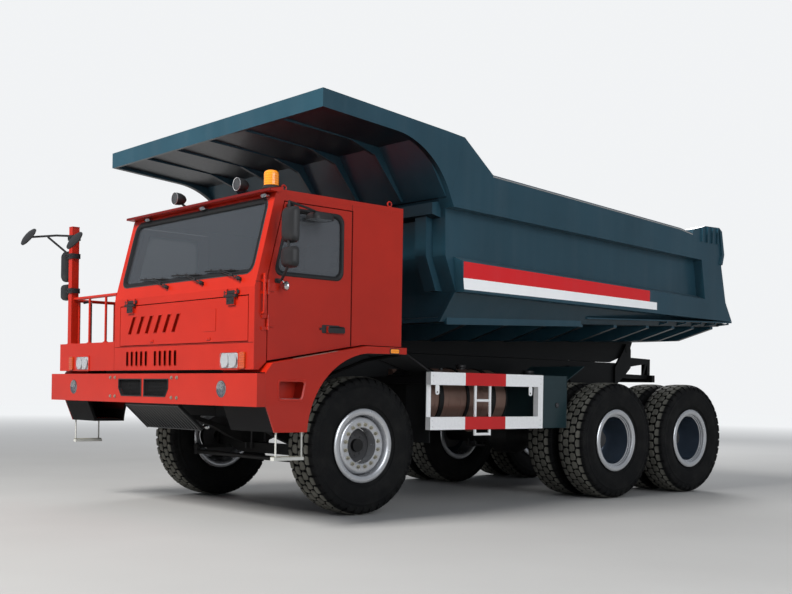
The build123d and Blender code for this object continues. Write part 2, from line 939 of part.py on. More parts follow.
# ---------------------------------------------------------------- doors and front hatch
handle_height = 1730
for name, side in sides:
    outer = cab_left if side > 0 else cab_right
    inner = outer - side * cab_wall
    x_low, x_high = min(outer, inner), max(outer, inner)
    with BuildPart() as door:
        side_shape(door_outlines[side], x_low, x_high)
        side_shape(window_outline, x_low - 5, x_high + 5, mode=Mode.SUBTRACT)
        # handle on a shallow base
        handle = (outer + side * 24, outer - side * 5)
        block((min(handle), max(handle)), (-840, -640), (handle_height - 30, handle_height + 30))
        for height in door_hinges:
            leaf = (outer + side * (hinge_out + 3), outer - side * 4)
            block((min(leaf), max(leaf)), (door_front - 8, door_front + 60),
                  (height - hinge_half, height + hinge_half))
            hinge_x = outer + side * hinge_out
            rod((hinge_x, door_front - running_gap, height - hinge_half),
                (hinge_x, door_front - running_gap, height + hinge_half), hinge_radius)
            rod((hinge_x, door_front - running_gap, height - hinge_half - 2),
                (hinge_x, door_front - running_gap, height + hinge_half + 2),
                hinge_pin + pin_gap, mode=Mode.SUBTRACT)
    keep(door, f"door_{name}")
    glass_x = (outer - side * 21, outer - side * 29)
    with BuildPart() as door_glass:
        extrude(
            widened(window_outline, -seat_gap).moved(Location((min(glass_x), 0, 0))),
            amount=pane,
        )
    keep(door_glass, f"door_glass_{name}")

with BuildPart() as front_hatch:
    block((hatch_right, hatch_left), (cab_front, cab_front + hatch_thick), (hatch_low, hatch_high))
    # six slanting vent slots
    for index in range(6):
        low_x = -300 + index * 165
        front_shape(
            [(low_x, 1715), (low_x + 55, 1715), (low_x + 155, 1880), (low_x + 100, 1880)],
            cab_front - 5,
            cab_front + hatch_thick + 5,
            mode=Mode.SUBTRACT,
        )
    for hinge_x in hatch_hinges:
        axis_station = cab_front - hinge_out
        axis_height = hatch_high + running_gap
        block((hinge_x - 60, hinge_x + 60), (cab_front - hinge_out - 3, cab_front + 4),
              (hatch_high - 70, hatch_high + 8))
        rod((hinge_x - 60, axis_station, axis_height), (hinge_x + 60, axis_station, axis_height),
            hinge_radius)
        rod((hinge_x - 62, axis_station, axis_height), (hinge_x + 62, axis_station, axis_height),
            hinge_pin + pin_gap, mode=Mode.SUBTRACT)
keep(front_hatch, "front_hatch")

# ---------------------------------------------------------------- fenders and deck
fender_back = 40
fender_top = 1600
fender_low = 835
fender_start = nose_station + bumper_depth + seat_gap
arch_start = -1100
arch_end = -430
arch_top = 1535
skin = 30
fender_in = 1300


def fender_sketch(grow):
    """The fender's side outline with its wheel arch, drawn in by a negative amount."""
    with BuildSketch(side_plane(0)) as shape:
        with BuildLine():
            Polyline(
                (arch_start, fender_low),
                (-1440, fender_low),
                (fender_start, bumper_low + 15),
                (fender_start, cab_low - 22),
                (cab_front + 130, 1420),
                (arch_end, fender_top),
                (fender_back, fender_top),
                (fender_back, arch_top + 5),
                (arch_end, arch_top),
            )
            ThreePointArc((arch_end, arch_top), (-930, 1270), (arch_start, fender_low))
        make_face()
        if grow:
            offset(amount=grow, kind=Kind.INTERSECTION)
    return shape.sketch


step_drop = 215
for name, side in sides:
    outer = body_half_width if side > 0 else deck_right
    x_low, x_high = sorted((side * fender_in, outer))
    with BuildPart() as fender:
        extrude(fender_sketch(0).moved(Location((x_low, 0, 0))), amount=x_high - x_low)
        hollow_low = x_low - 5 if side > 0 else x_low + skin
        extrude(
            fender_sketch(-skin).moved(Location((hollow_low, 0, 0))),
            amount=x_high - x_low - skin + 5,
            mode=Mode.SUBTRACT,
        )
        # stirrup hung below
        bar_x = outer - side * 25
        for station in (-1410, -1140):
            rod((bar_x, station, fender_low + 5), (bar_x, station, fender_low - step_drop), 8)
        bar = sorted((bar_x - side * 45, bar_x + side * 10))
        block(bar, (-1430, -1120), (fender_low - step_drop - 24, fender_low - step_drop + 4))
        # foothold box let into the side
        if side > 0:
            foothold = [(-1420, 1095), (-1420, 1290), (-1098, 1290), (-1145, 1095)]
            side_shape(foothold, outer - 150, outer - 5)
            hollow = widened(foothold, -20)
            extrude(hollow.moved(Location((outer - 130, 0, 0))), amount=135, mode=Mode.SUBTRACT)
    keep(fender, f"fender_{name}")

deck_outline = [
    (cab_front + 8, cab_low),
    (cab_front + 8, deck_height),
    (fender_back, deck_height),
    (fender_back, fender_top + seat_gap),
    (arch_end, fender_top + seat_gap),
    (cab_front + 130, 1430),
    (cab_front + 50, cab_low),
]
with BuildPart() as deck:
    side_shape(deck_outline, deck_right, cab_right - 20)
    hollow = widened(deck_outline, -8)
    extrude(hollow.moved(Location((deck_right + 8, 0, 0))),
            amount=cab_right - 20 - deck_right - 16, mode=Mode.SUBTRACT)
keep(deck, "deck")

rail_height = 2130
post_radius = 17
mast_x = deck_right + 210
mast_station = -1550
mast_half = 40
mast_top = 2900
rail_x = deck_right + 45
with BuildPart() as deck_railing:
    block((mast_x - mast_half, mast_x + mast_half),
          (mast_station - mast_half, mast_station + mast_half),
          (deck_height + seat_gap, mast_top))
    rod((mast_x, mast_station, rail_height), (cab_right - 45, mast_station, rail_height), post_radius)
    for post_x in (-1230, -870, cab_right - 60):
        rod((post_x, mast_station, deck_height + seat_gap), (post_x, mast_station, rail_height),
            post_radius - 4)
    rod((mast_x - 10, mast_station, rail_height), (rail_x, mast_station + 130, rail_height),
        post_radius - 2)
    rod((rail_x, mast_station + 115, rail_height), (rail_x, -40, rail_height), post_radius)
    for station in (mast_station + 150, -980, -520, -60):
        rod((rail_x, station, deck_height + seat_gap), (rail_x, station, rail_height),
            post_radius - 4)
keep(deck_railing, "deck_railing")

# ---------------------------------------------------------------- mirrors


def round_mirror(x, station, height):
    """A round mirror with its face tilted down and back."""
    tilt = math.radians(round_mirror_tilt)
    normal = (0, -math.sin(tilt), math.cos(tilt))
    with BuildSketch(Plane(origin=at(x, station, height), z_dir=normal)) as face:
        Circle(round_mirror_radius)
    extrude(face.sketch, amount=round_mirror_depth / 2, both=True)


arm_radius = 11
mirror_x = -mirror_reach + round_mirror_radius
with BuildPart() as mast_mirrors:
    arm_height = 2810
    pad = 14
    clamp = mast_half + seat_gap
    for low, high in ((2540, 2640), (2700, 2850), (2180, 2260)):
        block((mast_x - clamp - pad, mast_x - clamp), (mast_station - 30, mast_station + 30),
              (low, high))
    block((mast_x - 30, mast_x + 30), (mast_station - clamp - pad, mast_station - clamp),
          (2700, 2800))
    rod((mast_x - clamp - 12, mast_station - 5, arm_height),
        (mirror_x, round_mirror_station, arm_height), arm_radius)
    rod((mast_x - clamp - 12, mast_station - 5, arm_height - 230),
        (mirror_x + 190, round_mirror_station + 120, arm_height), arm_radius)
    round_mirror(mirror_x, round_mirror_station, arm_height)
    rod((mast_x, mast_station - clamp - 12, arm_height - 60),
        (mast_x + 330, mast_station - 160, arm_height - 90), arm_radius)
    round_mirror(mast_x + 330, mast_station - 160, arm_height - 90)
    for low, high in ((2330, 2670), (2130, 2310)):
        block((mast_x - 330, mast_x - 160), (mast_station - 10, mast_station + 60), (low, high))
    rod((mast_x - clamp - 5, mast_station, 2600), (mast_x - 245, mast_station + 20, 2600),
        arm_radius)
    rod((mast_x - clamp - 5, mast_station, 2220), (mast_x - 245, mast_station + 20, 2220),
        arm_radius)
    rod((mast_x - 245, mast_station + 25, 2150), (mast_x - 245, mast_station + 25, 2650),
        arm_radius)
keep(mast_mirrors, "mast_mirrors")

stalk_x = mirror_reach - mirror_width / 2
kerb_gap = 20
with BuildPart() as side_mirrors:
    for low, high in ((2420, 2730), (2215, 2395)):
        block((mirror_reach - mirror_width, mirror_reach), (-1440, -1360), (low, high))
    rod((stalk_x, -1400, 2240), (stalk_x, -1400, 2775), arm_radius)
    for station, height in ((-1260, 2765), (-1370, 2120)):
        block((cab_left + seat_gap, cab_left + 18), (station - 30, station + 30),
              (height - 20, height + 20))
    rod((cab_left + 12, -1260, 2765), (stalk_x, -1400, 2770), arm_radius)
    rod((cab_left + 12, -1370, 2120), (stalk_x, -1400, 2250), arm_radius)
    # kerb mirror over the window
    kerb_x = cab_left + kerb_gap + mirror_width / 2
    rod((stalk_x, -1400, 2765), (kerb_x + 20, -1040, 2722), arm_radius)
    block((kerb_x - mirror_width / 2, kerb_x + mirror_width / 2), (-1130, -900), (2660, 2725))
keep(side_mirrors, "side_mirrors")

# ---------------------------------------------------------------- lamps
head_low = 1370
head_high = 1512
roof_lamp_x = (270, 1330)
with BuildPart() as front_lamps:
    for x_from, face in ((1378, cab_front), (-1413, cab_front + 8)):
        block((x_from, x_from + 270), (face - 24, face - seat_gap), (head_low, head_high))
    for side in (-1, 1):
        rod((side * lamp_x, nose_station + 8, 1195),
            (side * lamp_x, nose_station + plate + 30, 1195), 65.7)
    for lamp_centre in roof_lamp_x:
        rod((lamp_centre, roof_front - 40, 3000), (lamp_centre, roof_front + 105, 3000), 58)
        rod((lamp_centre, roof_front + 85, cab_roof + seat_gap),
            (lamp_centre, roof_front + 85, 2960), 14)
keep(front_lamps, "front_lamps")

beacon_x = cab_left - 170
beacon_station = roof_front + 70
beacon_foot = cab_roof + 20 + seat_gap
with BuildPart() as amber_lamps:
    for x_from, face in ((1666, cab_front), (-1585, cab_front + 8)):
        block((x_from, x_from + 82), (face - 16, face - seat_gap), (head_low, head_high))
    rod((beacon_x, beacon_station + 25, cab_roof + seat_gap),
        (beacon_x, beacon_station + 25, beacon_foot + 5), 22)
    rod((beacon_x, beacon_station, beacon_foot), (beacon_x, beacon_station, beacon_foot + 25), 66)
    rod((beacon_x, beacon_station, beacon_foot + 20), (beacon_x, beacon_station, 3070), 60)
keep(amber_lamps, "amber_lamps")

with BuildPart() as tail_lamps:
    for side in (-1, 1):
        xs = sorted((side * (lamp_bar_half - 20), side * (lamp_bar_half - 240)))
        block(xs, (tail_beam_station + seat_gap, tail_beam_station + seat_gap + lamp_depth),
              (lamp_bar_low + 5, lamp_bar_low + lamp_bar_depth - 5))
keep(tail_lamps, "tail_lamps")

# ---------------------------------------------------------------- tanks and guards
tank_radius = 315
tank_x = 1010
tank_height = 1135
tank_front = 900
tank_back = 2100
with BuildPart() as fuel_tank:
    rod((tank_x, tank_front, tank_height), (tank_x, tank_back, tank_height), tank_radius)
    for station in (tank_front + 180, tank_back - 240):
        rod((tank_x, station, tank_height), (tank_x, station + 60, tank_height), tank_radius + 10)
        front_shape(
            [
                (rail_outer + seat_gap, 1440),
                (rail_outer + 60, 1440),
                (tank_x - tank_radius + 60, 1150),
                (tank_x, tank_height - tank_radius - 25),
                (tank_x - 40, tank_height - tank_radius - 55),
                (rail_outer + seat_gap, 900),
            ],
            station,
            station + 60,
        )
keep(fuel_tank, "fuel_tank")

guard_x = 1430
guard_depth = 70
guard_start = 790
guard_end = 2500
guard_low = (815, 945)
guard_high = (1270, 1400)
ladder_start = 1460
ladder_width = 220
ladder_low = 750
with BuildPart() as tank_guards:
    for side in (-1, 1):
        x_low, x_high = sorted((side * guard_x, side * (guard_x + guard_depth)))
        side_shape(
            [
                (guard_start, guard_low[0]),
                (guard_end, guard_low[0]),
                (guard_end, guard_high[1]),
                (guard_start, guard_high[1]),
                (guard_start, guard_high[0]),
                (guard_end - 80, guard_high[0]),
                (guard_end - 80, guard_low[1]),
                (guard_start, guard_low[1]),
            ],
            x_low,
            x_high,
        )
        # arms to the frame
        xs = sorted((side * (rail_outer + seat_gap), side * (guard_x + 5)))
        for station in (guard_start + 5, guard_end - 65):
            block(xs, (station, station + 60), (guard_high[0] + 10, guard_high[0] + 80))
        xs = sorted((side * (guard_x - 55), side * (guard_x + 5)))
        block(xs, (guard_start + 5, guard_start + 65), (guard_low[0] + 10, guard_high[0] + 80))
        # ladder
        ladder_x = side * (guard_x + 40)
        for station in (ladder_start, ladder_start + ladder_width):
            rod((ladder_x, station, ladder_low), (ladder_x, station, guard_high[0] + 20), 16)
        for height in (ladder_low + 12, ladder_low + 365):
            rod((ladder_x, ladder_start - 5, height),
                (ladder_x, ladder_start + ladder_width + 5, height), 14)
keep(tank_guards, "tank_guards")

# mudguards behind the front wheels: a slope that narrows, then a flap across the tyre
flap_half = 180
flap_low = 680
flap_top = 1405
sheet = 8
flap_station = guard_start + 65 + seat_gap
for name, side in sides:
    outer = body_half_width if side > 0 else -deck_right
    with BuildPart() as mudguard:
        sections = []
        for station, near, far, low in (
            (fender_back + seat_gap, fender_in + 10, outer - 60, fender_top - 30),
            (flap_station + sheet, front_track / 2 - flap_half, front_track / 2 + flap_half, flap_top),
        ):
            with BuildSketch(front_plane(station)) as edge:
                with BuildLine():
                    Polyline(
                        (side * near, low),
                        (side * far, low),
                        (side * far, low + sheet),
                        (side * near, low + sheet),
                        close=True,
                    )
                make_face()
            sections.append(edge.sketch)
        loft(sections)
        xs = sorted((side * (front_track / 2 - flap_half), side * (front_track / 2 + flap_half)))
        block(xs, (flap_station, flap_station + sheet), (flap_low, flap_top + 4))
    keep(mudguard, f"mudguard_{name}")

tank_rear = mid_axle - tyre_radius - 5
tank_top = 1395
with BuildPart() as oil_tank:
    block((rail_outer + seat_gap, guard_x + 50), (guard_end + seat_gap, tank_rear),
          (820, tank_top))
    # slanted cover that rises over the tyres behind it
    side_shape(
        [
            (tank_rear - 15, tank_top - 62),
            (tank_rear + 310, tank_top + 117),
            (tank_rear + 306, tank_top + 125),
            (tank_rear - 15, tank_top - 53),
        ],
        rail_outer + 150,
        guard_x + 50,
    )
keep(oil_tank, "oil_tank")

with BuildPart() as battery_box:
    block((-1395, -rail_outer - seat_gap), (1040, 1620), (880, 1250))
    for x in (-1180, -850):
        rod((x, 1680, 1080), (x, guard_end - 110, 1080), 145)
        for station in (1760, guard_end - 230):
            block((x - 30, x + 30), (station, station + 50), (1200, 1330))
    for station in (1760, guard_end - 230):
        block((-1240, -rail_outer - seat_gap), (station, station + 50), (1325, 1365))
keep(battery_box, "battery_box")

# ---------------------------------------------------------------- tipping body
side_out = bed_half_width
side_mid = bed_half_width - bed_recess
side_in = side_mid - bed_wall
side_foot_front = 2180
side_foot_rear = 2140
# upper edge of the side, from the canopy's foot to the tail
side_crown = [
    (610, 3080),
    (790, 3680),
    (1195, 3370),
    (4430, 3200),
    (4700, 3165),
    (4720, 3215),
    (4970, 3280),
    (5270, 3290),
    (5310, 3250),
    (5370, 2960),
    (5330, 2820),
    (5440, 2375),
    (tail_station, side_foot_rear),
]
ledge_front = (780, 2480)
ledge_rear = (4985, 2385)
ledge_rise = 50
cap_rise = 22
for name, side in sides:
    with BuildPart() as bed_side:
        wall = sorted((side * side_in, side * side_mid))
        side_shape(
            [(815, side_foot_front), (665, 2530), (655, 2990)] + side_crown, wall[0], wall[1]
        )
        frame_xs = sorted((side * (side_mid - 2), side * side_out))
        side_shape(
            [(655, 2990)]
            + side_crown
            + [(815, side_foot_front), ledge_front, ledge_rear, (4900, 2860)],
            frame_xs[0],
            frame_xs[1],
        )
        # stiffening ribs and a flange on the rear corner
        cap = sorted((side * (side_out - 2), side * (side_out + cap_rise)))
        for station, top in ((4880, 3245), (4990, 3270), (5100, 3275), (5210, 3278)):
            block(cap, (station, station + 14), (3080, top))
        side_shape(
            [(5240, 3283), (5302, 3244), (5362, 2960), (5325, 2830), (5285, 2835), (5318, 2960),
             (5262, 3230)],
            *cap,
        )
        # the ledge over the striped box slopes outward
        with BuildSketch(front_plane(ledge_front[0])) as front_wedge:
            with BuildLine():
                Polyline(
                    (side * (side_mid - 2), ledge_front[1] - 2),
                    (side * side_out, ledge_front[1]),
                    (side * (side_mid - 2), ledge_front[1] + ledge_rise),
                    close=True,
                )
            make_face()
        with BuildSketch(front_plane(ledge_rear[0] + 2)) as rear_wedge:
            with BuildLine():
                Polyline(
                    (side * (side_mid - 2), ledge_rear[1] - 2),
                    (side * side_out, ledge_rear[1]),
                    (side * (side_mid - 2), ledge_rear[1] + ledge_rise),
                    close=True,
                )
            make_face()
        loft([front_wedge.sketch, rear_wedge.sketch])
    keep(bed_side, f"bed_side_{name}")

floor_thick = 45
flare_start = 2950
# how far the skirts lean inward from the sides, at the front and at the tail
skirt_lean_front = 210
skirt_lean_rear = 70
# half width and height of the floor's underside at its front and rear ends
floor_front = (side_mid - skirt_lean_front, 1900)
floor_rear = (side_mid - skirt_lean_rear, 2085)


def floor_bottom(station):
    """Height of the body floor's underside at a station."""
    share = (station - bed_front) / (tail_station - bed_front)
    return floor_front[1] + share * (floor_rear[1] - floor_front[1])


def floor_half(station):
    """Half the floor's width at a station."""
    share = (station - bed_front) / (tail_station - bed_front)
    return floor_front[0] + share * (floor_rear[0] - floor_front[0])


def strip(side, station, near, far, low, thick):
    """A rectangle in section on one side of the body."""
    with BuildSketch(front_plane(station)) as section:
        with BuildLine():
            Polyline(
                (side * near, low),
                (side * far, low),
                (side * far, low + thick),
                (side * near, low + thick),
                close=True,
            )
        make_face()
    return section.sketch


def trough(station, half_width, low, top):
    """The body's lower shell in section: a floor with outward leaning skirts."""
    half = [
        (side_mid, top - seat_gap),
        (half_width, low),
    ]
    inside = [
        (-half_width + 25, low + floor_thick),
        (-side_in, top - seat_gap),
    ]
    points = (
        [(-x, z) for x, z in half]
        + [(x, z) for x, z in reversed(half)]
        + [(-x, z) for x, z in reversed(inside)]
        + inside
    )
    with BuildSketch(front_plane(station)) as section:
        with BuildLine():
            Polyline(*points, close=True)
        make_face()
    return section.sketch


with BuildPart() as bed_floor:
    loft(
        [
            trough(bed_front, *floor_front, side_foot_front),
            trough(tail_station, *floor_rear, side_foot_rear),
        ]
    )
    for side in (-1, 1):
        # edge rail along the floor's corner, then a plate that flares out to the tail
        along_corner = [
            strip(side, station, floor_half(station) - 8, floor_half(station) + 30,
                  floor_bottom(station) - 28, 83)
            for station in (bed_front + 70, flare_start - 50)
        ]
        loft(along_corner)
        loft([
            strip(side, flare_start, side_mid - 100, side_mid - 70, side_foot_rear - 100, 16),
            strip(side, tail_station, side_mid - 30, side_out, side_foot_rear - 17, 16),
        ])
        for station in (4350, 4700, 5000, 5280, 5540):
            share = (station - flare_start) / (tail_station - flare_start)
            reach = side_mid - 70 + share * (side_out - side_mid + 70) - 12
            top = side_foot_rear - 97 + share * 83
            front_shape(
                [
                    (side * (floor_half(station) - 5), floor_bottom(station) + 3),
                    (side * (floor_half(station) + 30), floor_bottom(station) + 45),
                    (side * (reach - 40), top - 14),
                    (side * reach, top),
                    (side * reach, top - 25),
                ],
                station - 7,
                station + 7,
            )
keep(bed_floor, "bed_floor")

rail_foot = rail_top + 6
body_rail_in = pivot_inner + 7
body_rail_out = rail_outer - 8
# stations of the outriggers under the floor
outriggers = (1150, 1750, 2350, 2950, 3550, 4150, 4650, 5050, 5450)
hoist_eye = (4000, 1860)
hoist_pin_radius = 38
body_tubes = ((1000, 1760, 45), (2700, 1780, 45), (*hoist_eye, hoist_pin_radius))
with BuildPart() as bed_subframe:
    for side in (-1, 1):
        xs = sorted((side * body_rail_in, side * body_rail_out))
        side_shape(
            [
                (bed_front + 40, rail_foot),
                (pivot_station - 330, rail_foot),
                (pivot_station - 80, pivot_height - 95),
                (pivot_station + 60, pivot_height - 80),
                (pivot_station + 100, pivot_height),
                (pivot_station + 230, floor_bottom(pivot_station + 230) - seat_gap),
                (bed_front + 40, floor_bottom(bed_front + 40) - seat_gap),
            ],
            xs[0],
            xs[1],
        )
        rod((xs[0] - 5, pivot_station, pivot_height), (xs[1] + 5, pivot_station, pivot_height),
            pivot_radius + pin_gap, mode=Mode.SUBTRACT)
    for station, height, radius in body_tubes:
        rod((-body_rail_in - 5, station, height), (body_rail_in + 5, station, height), radius)
keep(bed_subframe, "bed_subframe")

with BuildPart() as bed_outriggers:
    for side in (-1, 1):
        for station in outriggers:
            low = floor_bottom(station - 30) - seat_gap
            reach = floor_half(station) - 10
            depth = 170
            front_shape(
                [
                    (side * (body_rail_out + seat_gap), low),
                    (side * reach, low),
                    (side * reach, low - 30),
                    (side * (reach - 500), low - depth),
                    (side * (body_rail_out + seat_gap), low - depth),
                ],
                station - 30,
                station + 30,
            )
keep(bed_outriggers, "bed_outriggers")

wall_gap = seat_gap
post_reach = side_in - 215
with BuildPart() as bed_front_wall:
    side_shape(
        [
            (815, side_foot_front + 2),
            (665, 2530),
            (655, 2990),
            (610, 3080),
            (655, 3110),
            (702, 3000),
            (712, 2535),
            (862, side_foot_front + 2),
        ],
        -side_in + wall_gap,
        side_in - wall_gap,
    )
    low = floor_bottom(862) + floor_thick + seat_gap + 2
    front_shape(
        [
            (-side_in + 3, side_foot_front + 5),
            (-floor_front[0] + 35, low),
            (floor_front[0] - 35, low),
            (side_in - 3, side_foot_front + 5),
        ],
        815,
        862,
    )
    # beam and posts on the outside
    side_shape([(540, 2930), (540, 3040), (640, 3060), (670, 2900)], -side_in + 10, side_in - 10)
    for index in range(6):
        post_x = -post_reach + index * post_reach * 2 / 5
        side_shape(
            [(580, 2990), (580, 2540), (720, 2200), (830, 2200), (680, 2535), (670, 2990)],
            post_x - 80,
            post_x + 80,
        )
keep(bed_front_wall, "bed_front_wall")

gusset = 60
canopy_rise = 35
rib_reach = side_in - 505
crown_foot = (side_crown[0][0] - pin_gap, side_crown[0][1])
crown_peak = (side_crown[1][0] - pin_gap, side_crown[1][1])
sweep_start = (-100, canopy_top - 230)


def canopy_side(x_from, width):
    """A canopy side plate whose lower edge sweeps down to the front wall."""
    with BuildSketch(side_plane(x_from)) as plate_shape:
        with BuildLine():
            Polyline(
                crown_foot,
                crown_peak,
                (540, canopy_top - 125),
                (canopy_front, canopy_top),
                (canopy_front, canopy_top - canopy_lip),
                sweep_start,
            )
            ThreePointArc(sweep_start, (330, canopy_top - 390), crown_foot)
        make_face()
    extrude(plate_shape.sketch, amount=width)


def canopy_plate(foot, x_from, x_to):
    """The canopy's sheet and front lip over a range of X, down to its foot points."""
    side_shape(
        [
            (canopy_front, canopy_top - canopy_lip),
            (canopy_front, canopy_top),
            (canopy_front + canopy_rise, canopy_top),
            (canopy_front + canopy_rise, canopy_top - 100),
            (300, canopy_top - 190),
        ]
        + foot
        + [
            (250, canopy_top - 230),
            (canopy_front + canopy_rise, canopy_top - 135),
            (canopy_front + canopy_rise, canopy_top - canopy_lip),
        ],
        x_from,
        x_to,
    )


with BuildPart() as bed_canopy:
    canopy_side(side_out - gusset, gusset)
    canopy_side(-side_out, gusset)
    wall_half = side_in - seat_gap
    canopy_plate([(655, 3190), (655, 3110.5), (610, 3080.5), (596, 3090)], -wall_half, wall_half)
    for side in (-1, 1):
        xs = sorted((side * (wall_half - 2), side * (side_out - gusset + 2)))
        canopy_plate([(620, 3170), (crown_foot[0] + 4, crown_foot[1] + 25), (596, 3090)], *xs)
    for index in range(5):
        rib_x = rib_reach * (index / 2 - 1)
        side_shape(
            [
                (canopy_front + 30, canopy_top - canopy_lip + 5),
                (canopy_front + 30, canopy_top - 130),
                (255, canopy_top - 220),
                (596, 3110),
                (560, 3100),
                (200, canopy_top - 310),
                (-100, canopy_top - 210),
            ],
            rib_x - 20,
            rib_x + 20,
        )
keep(bed_canopy, "bed_canopy")

# ---------------------------------------------------------------- hoist
barrel_radius_out = 85
piston_radius = 50
hoist_x = 220
hoist_reach = math.dist(hoist_base, hoist_eye)
hoist_cos = (hoist_eye[0] - hoist_base[0]) / hoist_reach
hoist_sin = (hoist_eye[1] - hoist_base[1]) / hoist_reach


def along_hoist(x, distance, rise=0):
    """A point on a hoist's axis, a distance from its base pin."""
    return (
        x,
        hoist_base[0] + distance * hoist_cos - rise * hoist_sin,
        hoist_base[1] + distance * hoist_sin + rise * hoist_cos,
    )


with BuildPart() as hoist_barrels:
    for side in (-1, 1):
        x = side * hoist_x
        rod(along_hoist(x, 40), along_hoist(x, 1560), barrel_radius_out)
        rod((x - 60, *hoist_base), (x + 60, *hoist_base), barrel_radius_out)
        rod((x - 90, *hoist_base), (x + 90, *hoist_base), 55 + pin_gap, mode=Mode.SUBTRACT)
        rod(along_hoist(x, 300), along_hoist(x, 1570), piston_radius + pin_gap,
            mode=Mode.SUBTRACT)
keep(hoist_barrels, "hoist_barrels")

# the rod ends in a tongue that carries the body's cross pin from below
tongue_length = 210
tongue_top = -hoist_pin_radius - 6
with BuildPart() as hoist_rods:
    for side in (-1, 1):
        x = side * hoist_x
        rod(along_hoist(x, 380), along_hoist(x, hoist_reach - tongue_length + 10), piston_radius)
        tongue = (
            along_hoist(x, hoist_reach - tongue_length, 45),
            along_hoist(x, hoist_reach - tongue_length, tongue_top - 20),
            along_hoist(x, hoist_reach + 60, tongue_top - 20),
            along_hoist(x, hoist_reach + 60, tongue_top),
            along_hoist(x, hoist_reach - tongue_length + 30, tongue_top),
            along_hoist(x, hoist_reach - tongue_length + 20, 45),
        )
        side_shape([(station, height) for _, station, height in tongue], x - 50, x + 50)
keep(hoist_rods, "hoist_rods")
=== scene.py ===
# %% [markdown]
# # A wide-body mining dump truck
# The truck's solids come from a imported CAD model. This script dresses them: it gives every
# solid a finish and adds what a workshop would fit last, such as tyres with lugs, lamps,
# mirrors, hinges, seats, pipes and bolts.
# All lengths are metres. X points to the truck's left, Y to its rear and Z up.

# %% Load the frame
import json
import math

import bmesh
import bpy
from mathutils import Matrix, Vector


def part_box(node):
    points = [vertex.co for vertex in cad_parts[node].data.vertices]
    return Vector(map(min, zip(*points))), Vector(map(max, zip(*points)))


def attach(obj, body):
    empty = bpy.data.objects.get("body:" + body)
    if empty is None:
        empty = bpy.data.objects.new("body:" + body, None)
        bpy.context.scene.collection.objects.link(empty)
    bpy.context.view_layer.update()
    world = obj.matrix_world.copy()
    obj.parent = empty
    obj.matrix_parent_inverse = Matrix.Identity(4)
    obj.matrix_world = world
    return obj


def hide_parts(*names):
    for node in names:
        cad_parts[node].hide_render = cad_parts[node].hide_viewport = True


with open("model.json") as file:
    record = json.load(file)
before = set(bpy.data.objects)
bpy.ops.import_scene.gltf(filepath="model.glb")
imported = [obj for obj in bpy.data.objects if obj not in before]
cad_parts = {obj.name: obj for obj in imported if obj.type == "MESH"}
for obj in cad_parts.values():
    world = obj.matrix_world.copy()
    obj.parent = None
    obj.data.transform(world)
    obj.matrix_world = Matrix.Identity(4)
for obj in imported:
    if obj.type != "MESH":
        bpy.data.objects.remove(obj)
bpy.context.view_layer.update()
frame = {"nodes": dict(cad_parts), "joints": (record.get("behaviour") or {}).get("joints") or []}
joints = {joint["name"]: joint for joint in frame["joints"]}
hub_at = {place: joints[f"wheel_spin_{place}_left"]["pos_m"] for place in ("front", "mid", "rear")}
axle_y, wheel_z = hub_at["front"][1:]
sides = ((1, "left"), (-1, "right"))


def along(station):
    """The Y of a station, which is the distance behind the front axle."""
    return axle_y + station

# %% [markdown]
# ## Camera
# The truck is seen from low down, ahead of its left front corner, with a normal lens. The
# camera could be tilted up to take in the tall body, but then upright edges would lean
# together. So it looks straight ahead, and a small lens shift lifts the picture, as in an
# architect's view. It leans sideways by a little under one degree, as if held by hand.

# %% Set the camera
camera = bpy.data.objects.new("camera", bpy.data.cameras.new("camera"))
bpy.context.scene.collection.objects.link(camera)
heading, roll = math.radians(48.33), 0.01568
forward = Vector((-math.sin(heading), math.cos(heading), 0))
right = forward.cross(Vector((0, 0, 1)))
up = Vector((0, 0, 1)) * math.cos(roll) - right * math.sin(roll)
right = forward.cross(up)
camera.matrix_world = Matrix((right, up, -forward)).transposed().to_4x4()
camera.location = (9.581, along(-6.868), 1.197)
camera.data.sensor_width = 36
camera.data.lens = 50.459091
camera.data.shift_y = 0.119255
camera.data.clip_end = 200
bpy.context.scene.camera = camera
print("lens", round(camera.data.lens, 2), "mm, shift", round(camera.data.shift_y, 4))

# %% [markdown]
# ## Shader arithmetic
# A procedural finish is a small sum: so much dust, so much wear, so much paint. Blender
# writes such sums as Math nodes, and adding those one by one hides the sum. The class below
# wraps a socket instead, so that the sum is written as an ordinary expression and the nodes
# appear by themselves.

# %% Wrap a socket
class Value:
    """A number on a shader link. Arithmetic on it adds Math nodes."""

    def __init__(self, finish, socket):
        self.finish = finish
        self.socket = socket

    def maths(self, operation, *values, clamp=False):
        """A Math node on any values or numbers."""
        settings = {"operation": operation, "use_clamp": clamp}
        node = self.finish.add("ShaderNodeMath", settings, dict(enumerate(values)))
        return Value(self.finish, node.outputs[0])

    def __add__(self, other):
        return self.maths("ADD", self, other)

    def __sub__(self, other):
        return self.maths("SUBTRACT", self, other)

    def __rsub__(self, other):
        return self.maths("SUBTRACT", other, self)

    def __mul__(self, other):
        return self.maths("MULTIPLY", self, other)

    def __truediv__(self, other):
        return self.maths("DIVIDE", self, other)

    def __gt__(self, other):
        return self.maths("GREATER_THAN", self, other)

    def __lt__(self, other):
        return self.maths("LESS_THAN", self, other)

    __radd__ = __add__
    __rmul__ = __mul__

    def __abs__(self):
        return self.maths("ABSOLUTE", self)

    def sine(self):
        return self.maths("SINE", self)

    def held(self):
        """The value kept between 0 and 1."""
        return self.maths("ADD", self, 0.0, clamp=True)

    def between(self, low, high):
        """0 at low, 1 at high, and straight in between."""
        return ((self - low) / (high - low)).held()


print("socket wrapper is ready")

